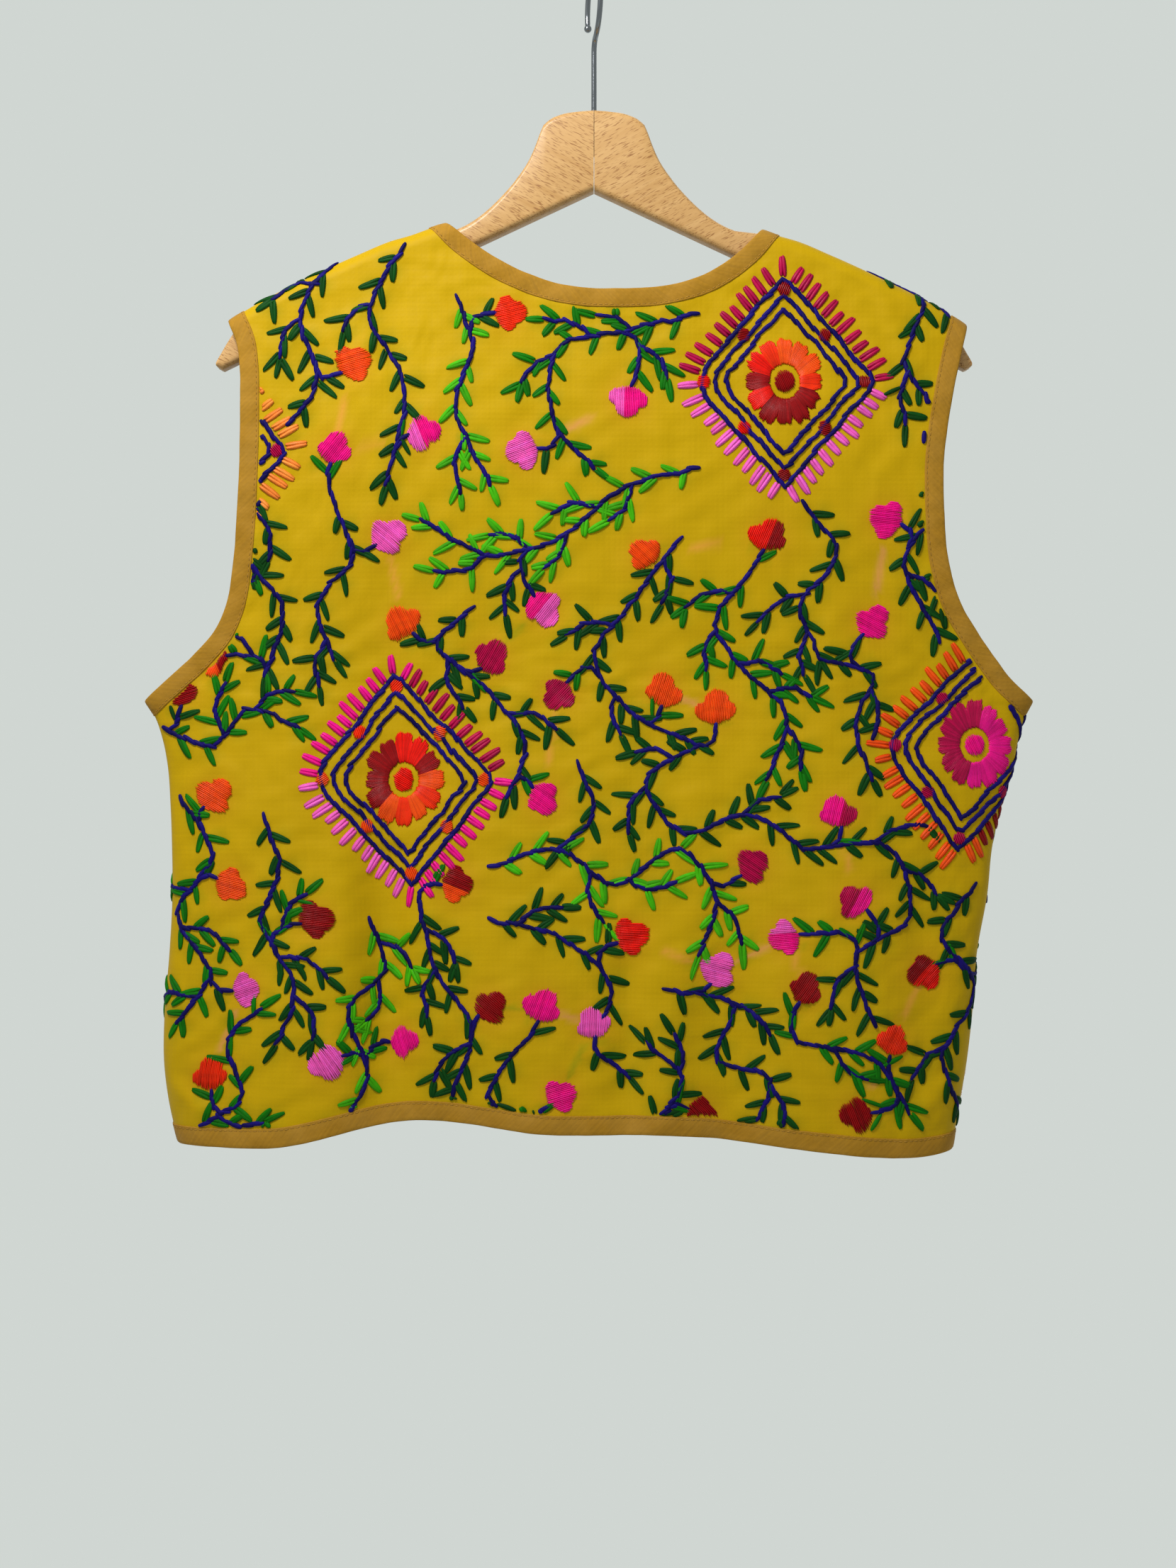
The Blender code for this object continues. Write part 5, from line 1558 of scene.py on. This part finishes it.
def sewing_of(side, sizes):
    """Everything embroidered on one side, and what shows through the cloth there.

    The first is four lists of stitches: stems, leaves, blossoms and medallions. On the fronts the chart is
    mirrored and lies lower."""
    source = np.random.default_rng(SEEDS[side])
    turned, shift = ((1, 1), (0, 0)) if side == BACK else ((-1, 1), (0, FRONT_CHART_SHIFT))
    own = side == FRONT
    medallions = FRONT_MEDALLIONS if own else MEDALLIONS
    centres = [(np.array(chart["centre"]) - shift) * turned for chart in medallions]
    blossoms = BLOSSOMS + FRONT_BLOSSOMS * own
    vines, drawn, buds = laid_out(STEMS + FRONT_STEMS * own, blossoms, centres, source)
    stems, leaves, satins, diamonds, marks = [], [], [], [], []
    for chart in medallions:
        lines, rest = medallion(chart, side, sizes, source)
        stems += lines
        diamonds += rest
    for kind, tip, points in vines:
        grown = vine(np.array(points) * turned + shift, kind, tip, side, sizes, source)
        stems += clear_of(grown[0], medallions, STEMS_CLEAR, side)
        leaves += clear_of(grown[1], medallions, LEAVES_CLEAR, side)
        marks += [(middle, middle, *BEHIND_LEAF) for middle in grown[2]]
    for start, end, colour in threads_behind(buds, source):
        marks.append((*charted(np.array([start, end]) * turned + shift, side), *BEHIND_THREAD, colour))
    for bud, (_, _, *colours) in zip(buds, blossoms):
        away = (bud - drawn[np.argmin(np.linalg.norm(drawn - bud, axis=1))]) * turned
        middle = charted([bud * turned + shift], side)[0]
        rows = blossom(middle, math.atan2(away[1], away[0]), colours, sizes, source)
        rows = clear_of(rows, medallions, STEMS_CLEAR, side)
        if rows:
            satins += rows
            marks.append((middle, middle, *BEHIND_BLOSSOM))
            stems = [row for row in stems if math.dist(row[0], middle) > sizes.blossom_size * .33]
            leaves = [row for row in leaves if math.dist(row[0], middle) > sizes.blossom_size * .47]
    return [trimmed(rows, side) for rows in (stems, leaves, satins, diamonds)], marks


def clear_of(rows, medallions, margin, side):
    """The stitches that keep this far out of the medallions."""
    if not rows:
        return rows
    middles = np.array([row[0] for row in rows])
    kept = np.ones(len(rows), bool)
    for chart in medallions:
        away = np.abs(middles - charted([chart["centre"]], side)[0])
        kept &= (away / (np.array(MEDALLION_HALF) / 1000 + margin)).sum(axis=1) > 1
    return [row for row, keep in zip(rows, kept) if keep]


class MakeCloth(bpy.types.Operator):
    """Lays the back and both fronts over the hanger as thin woven cloth"""
    bl_idname = "waistcoat.make_cloth"
    bl_label = "Cloth panels"

    def execute(self, context):
        settings = context.scene.waistcoat
        material = rayon_cloth(settings.cloth)
        shown = {side: sewing_of(side, settings.embroidery)[1] for side in (BACK, FRONT)}
        for name, places, side in (("back", back_places(), BACK), ("front_left", front_places(True), FRONT),
                                   ("front_right", front_places(False), FRONT)):
            cloth_panel(name, places, side, material, settings.cloth, shown[side])
        return {"FINISHED"}


class BindEdges(bpy.types.Operator):
    """Folds the bias tape over the neck, the armholes and the hem, and stitches it down"""
    bl_idname = "waistcoat.bind_edges"
    bl_label = "Bound edges"

    def execute(self, context):
        settings = context.scene.waistcoat.cloth
        material, thread = bias_tape(settings), twisted_thread("sewing_cotton", .6, .3)
        source = np.random.default_rng(7)
        for left in (True, False):
            side = "left" if left else "right"
            bound_edge("binding_armhole_" + side, armhole_lines(left), material, thread, settings, True,
                       source)
        bound_edge("binding_neck", neck_lines(), material, thread, settings, False, source)
        bound_edge("binding_hem", hem_lines(), material, thread, settings, False, source)
        return {"FINISHED"}


class Embroider(bpy.types.Operator):
    """Sews the vines, leaves, blossoms and medallions on the cloth"""
    bl_idname = "waistcoat.embroider"
    bl_label = "Embroidery"

    def execute(self, context):
        sizes = context.scene.waistcoat.embroidery
        floss = twisted_thread("rayon_floss", .42, .22)
        cotton = twisted_thread("stranded_cotton", .55, .10)
        fine, full, slim = stitch_form(6, 6, .6), stitch_form(6, 8, .86), stitch_form(4, 6, .6)
        kinds = (("_vines", fine, cotton), ("_leaves", full, cotton), ("_blossoms", slim, floss),
                 ("_medallions", slim, floss))
        for side, panels in ((BACK, ("back",)), (FRONT, ("front_left", "front_right"))):
            sewing, _ = sewing_of(side, sizes)
            for rows, (suffix, form, material) in zip(sewing, kinds):
                for number, panel in enumerate(panels):
                    own = [row for row in rows if side == BACK or (row[0][0] > 0) == number]
                    sewn(panel + suffix, own, side, form, material)
        return {"FINISHED"}


class JoinSheets(bpy.types.Operator):
    """Takes no step and leaves the scene as it is"""
    bl_idname = "waistcoat.join_sheets"
    bl_label = "Cut and assembly"

    def execute(self, context):
        return {"FINISHED"}


class MakeHanger(bpy.types.Operator):
    """Makes the two wooden arms and the wire hook"""
    bl_idname = "waistcoat.make_hanger"
    bl_label = "Hanger"

    def execute(self, context):
        for name, left in (("hanger_left", True), ("hanger_right", False)):
            grain = GRAIN_SLOPE * (-1 if left else 1)
            wooden_arm(name, left, lacquered_beech("lacquered_beech_" + name[7:], grain))
        wire_hook("hanger_hook", bright_wire())
        return {"FINISHED"}


class SetStage(bpy.types.Operator):
    """Sets the floor, the lights and the camera"""
    bl_idname = "waistcoat.set_stage"
    bl_label = "Stage"

    def execute(self, context):
        settings = context.scene.waistcoat.stage
        bm = bmesh.new()
        bmesh.ops.create_circle(bm, cap_ends=True, segments=96, radius=FLOOR_RADIUS)
        bmesh.ops.translate(bm, verts=bm.verts, vec=(0, 0, -settings.floor_drop))
        mesh = bpy.data.meshes.new("floor")
        bm.to_mesh(mesh)
        bm.free()
        mesh.materials.append(matt_paint("pale_paint", "#dcdedb"))
        floor = bpy.data.objects.new("floor", mesh)
        context.scene.collection.objects.link(floor)
        context.scene.world = pale_room("#d2d8d4", .63, .98)
        target = Vector(LAMPS_FACE)
        for name, place, size, share in LAMPS:
            lamp = bpy.data.lights.new(name, "AREA")
            lamp.shape, lamp.size, lamp.energy = "DISK", size, settings.key_power * share
            light = bpy.data.objects.new(name, lamp)
            light.location = place
            light.rotation_euler = (target - Vector(place)).to_track_quat("-Z", "Y").to_euler()
            context.scene.collection.objects.link(light)
        lens = bpy.data.cameras.new("camera")
        lens.sensor_fit, lens.sensor_width = "AUTO", SENSOR
        lens.lens = SENSOR * settings.distance / VIEW_HEIGHT
        camera = bpy.data.objects.new("camera", lens)
        camera.location = (VIEW_MIDDLE[0], -settings.distance, VIEW_MIDDLE[1])
        camera.rotation_euler = (math.pi / 2, 0, 0)
        context.scene.collection.objects.link(camera)
        context.scene.camera = camera
        context.scene.view_settings.view_transform = "Standard"
        return {"FINISHED"}


class WaistcoatPanel(bpy.types.Panel):
    """The waistcoat's steps and settings"""
    bl_idname = "VIEW3D_PT_waistcoat"
    bl_label = "Embroidered Waistcoat"
    bl_space_type = "VIEW_3D"
    bl_region_type = "UI"
    bl_category = "Waistcoat"

    def draw(self, context):
        settings = context.scene.waistcoat
        for group in (settings.cloth, settings.embroidery, settings.stage):
            box = self.layout.box()
            for name in group.__annotations__:
                box.prop(group, name)
        for operator in STEPS:
            self.layout.operator(operator.bl_idname)


STEPS = (SetStage, MakeHanger, MakeCloth, BindEdges, Embroider, JoinSheets)
CLASSES = (ClothSettings, EmbroiderySettings, StageSettings, WaistcoatSettings, *STEPS, WaistcoatPanel)


def register():
    for made in CLASSES:
        bpy.utils.register_class(made)
    bpy.types.Scene.waistcoat = bpy.props.PointerProperty(type=WaistcoatSettings)


def unregister():
    del bpy.types.Scene.waistcoat
    for made in reversed(CLASSES):
        bpy.utils.unregister_class(made)


def main():
    register()
    bpy.ops.waistcoat.set_stage()
    bpy.ops.waistcoat.make_hanger()
    bpy.ops.waistcoat.make_cloth()
    bpy.ops.waistcoat.bind_edges()
    bpy.ops.waistcoat.embroider()
    bpy.ops.waistcoat.join_sheets()


if __name__ == "__main__":
    main()
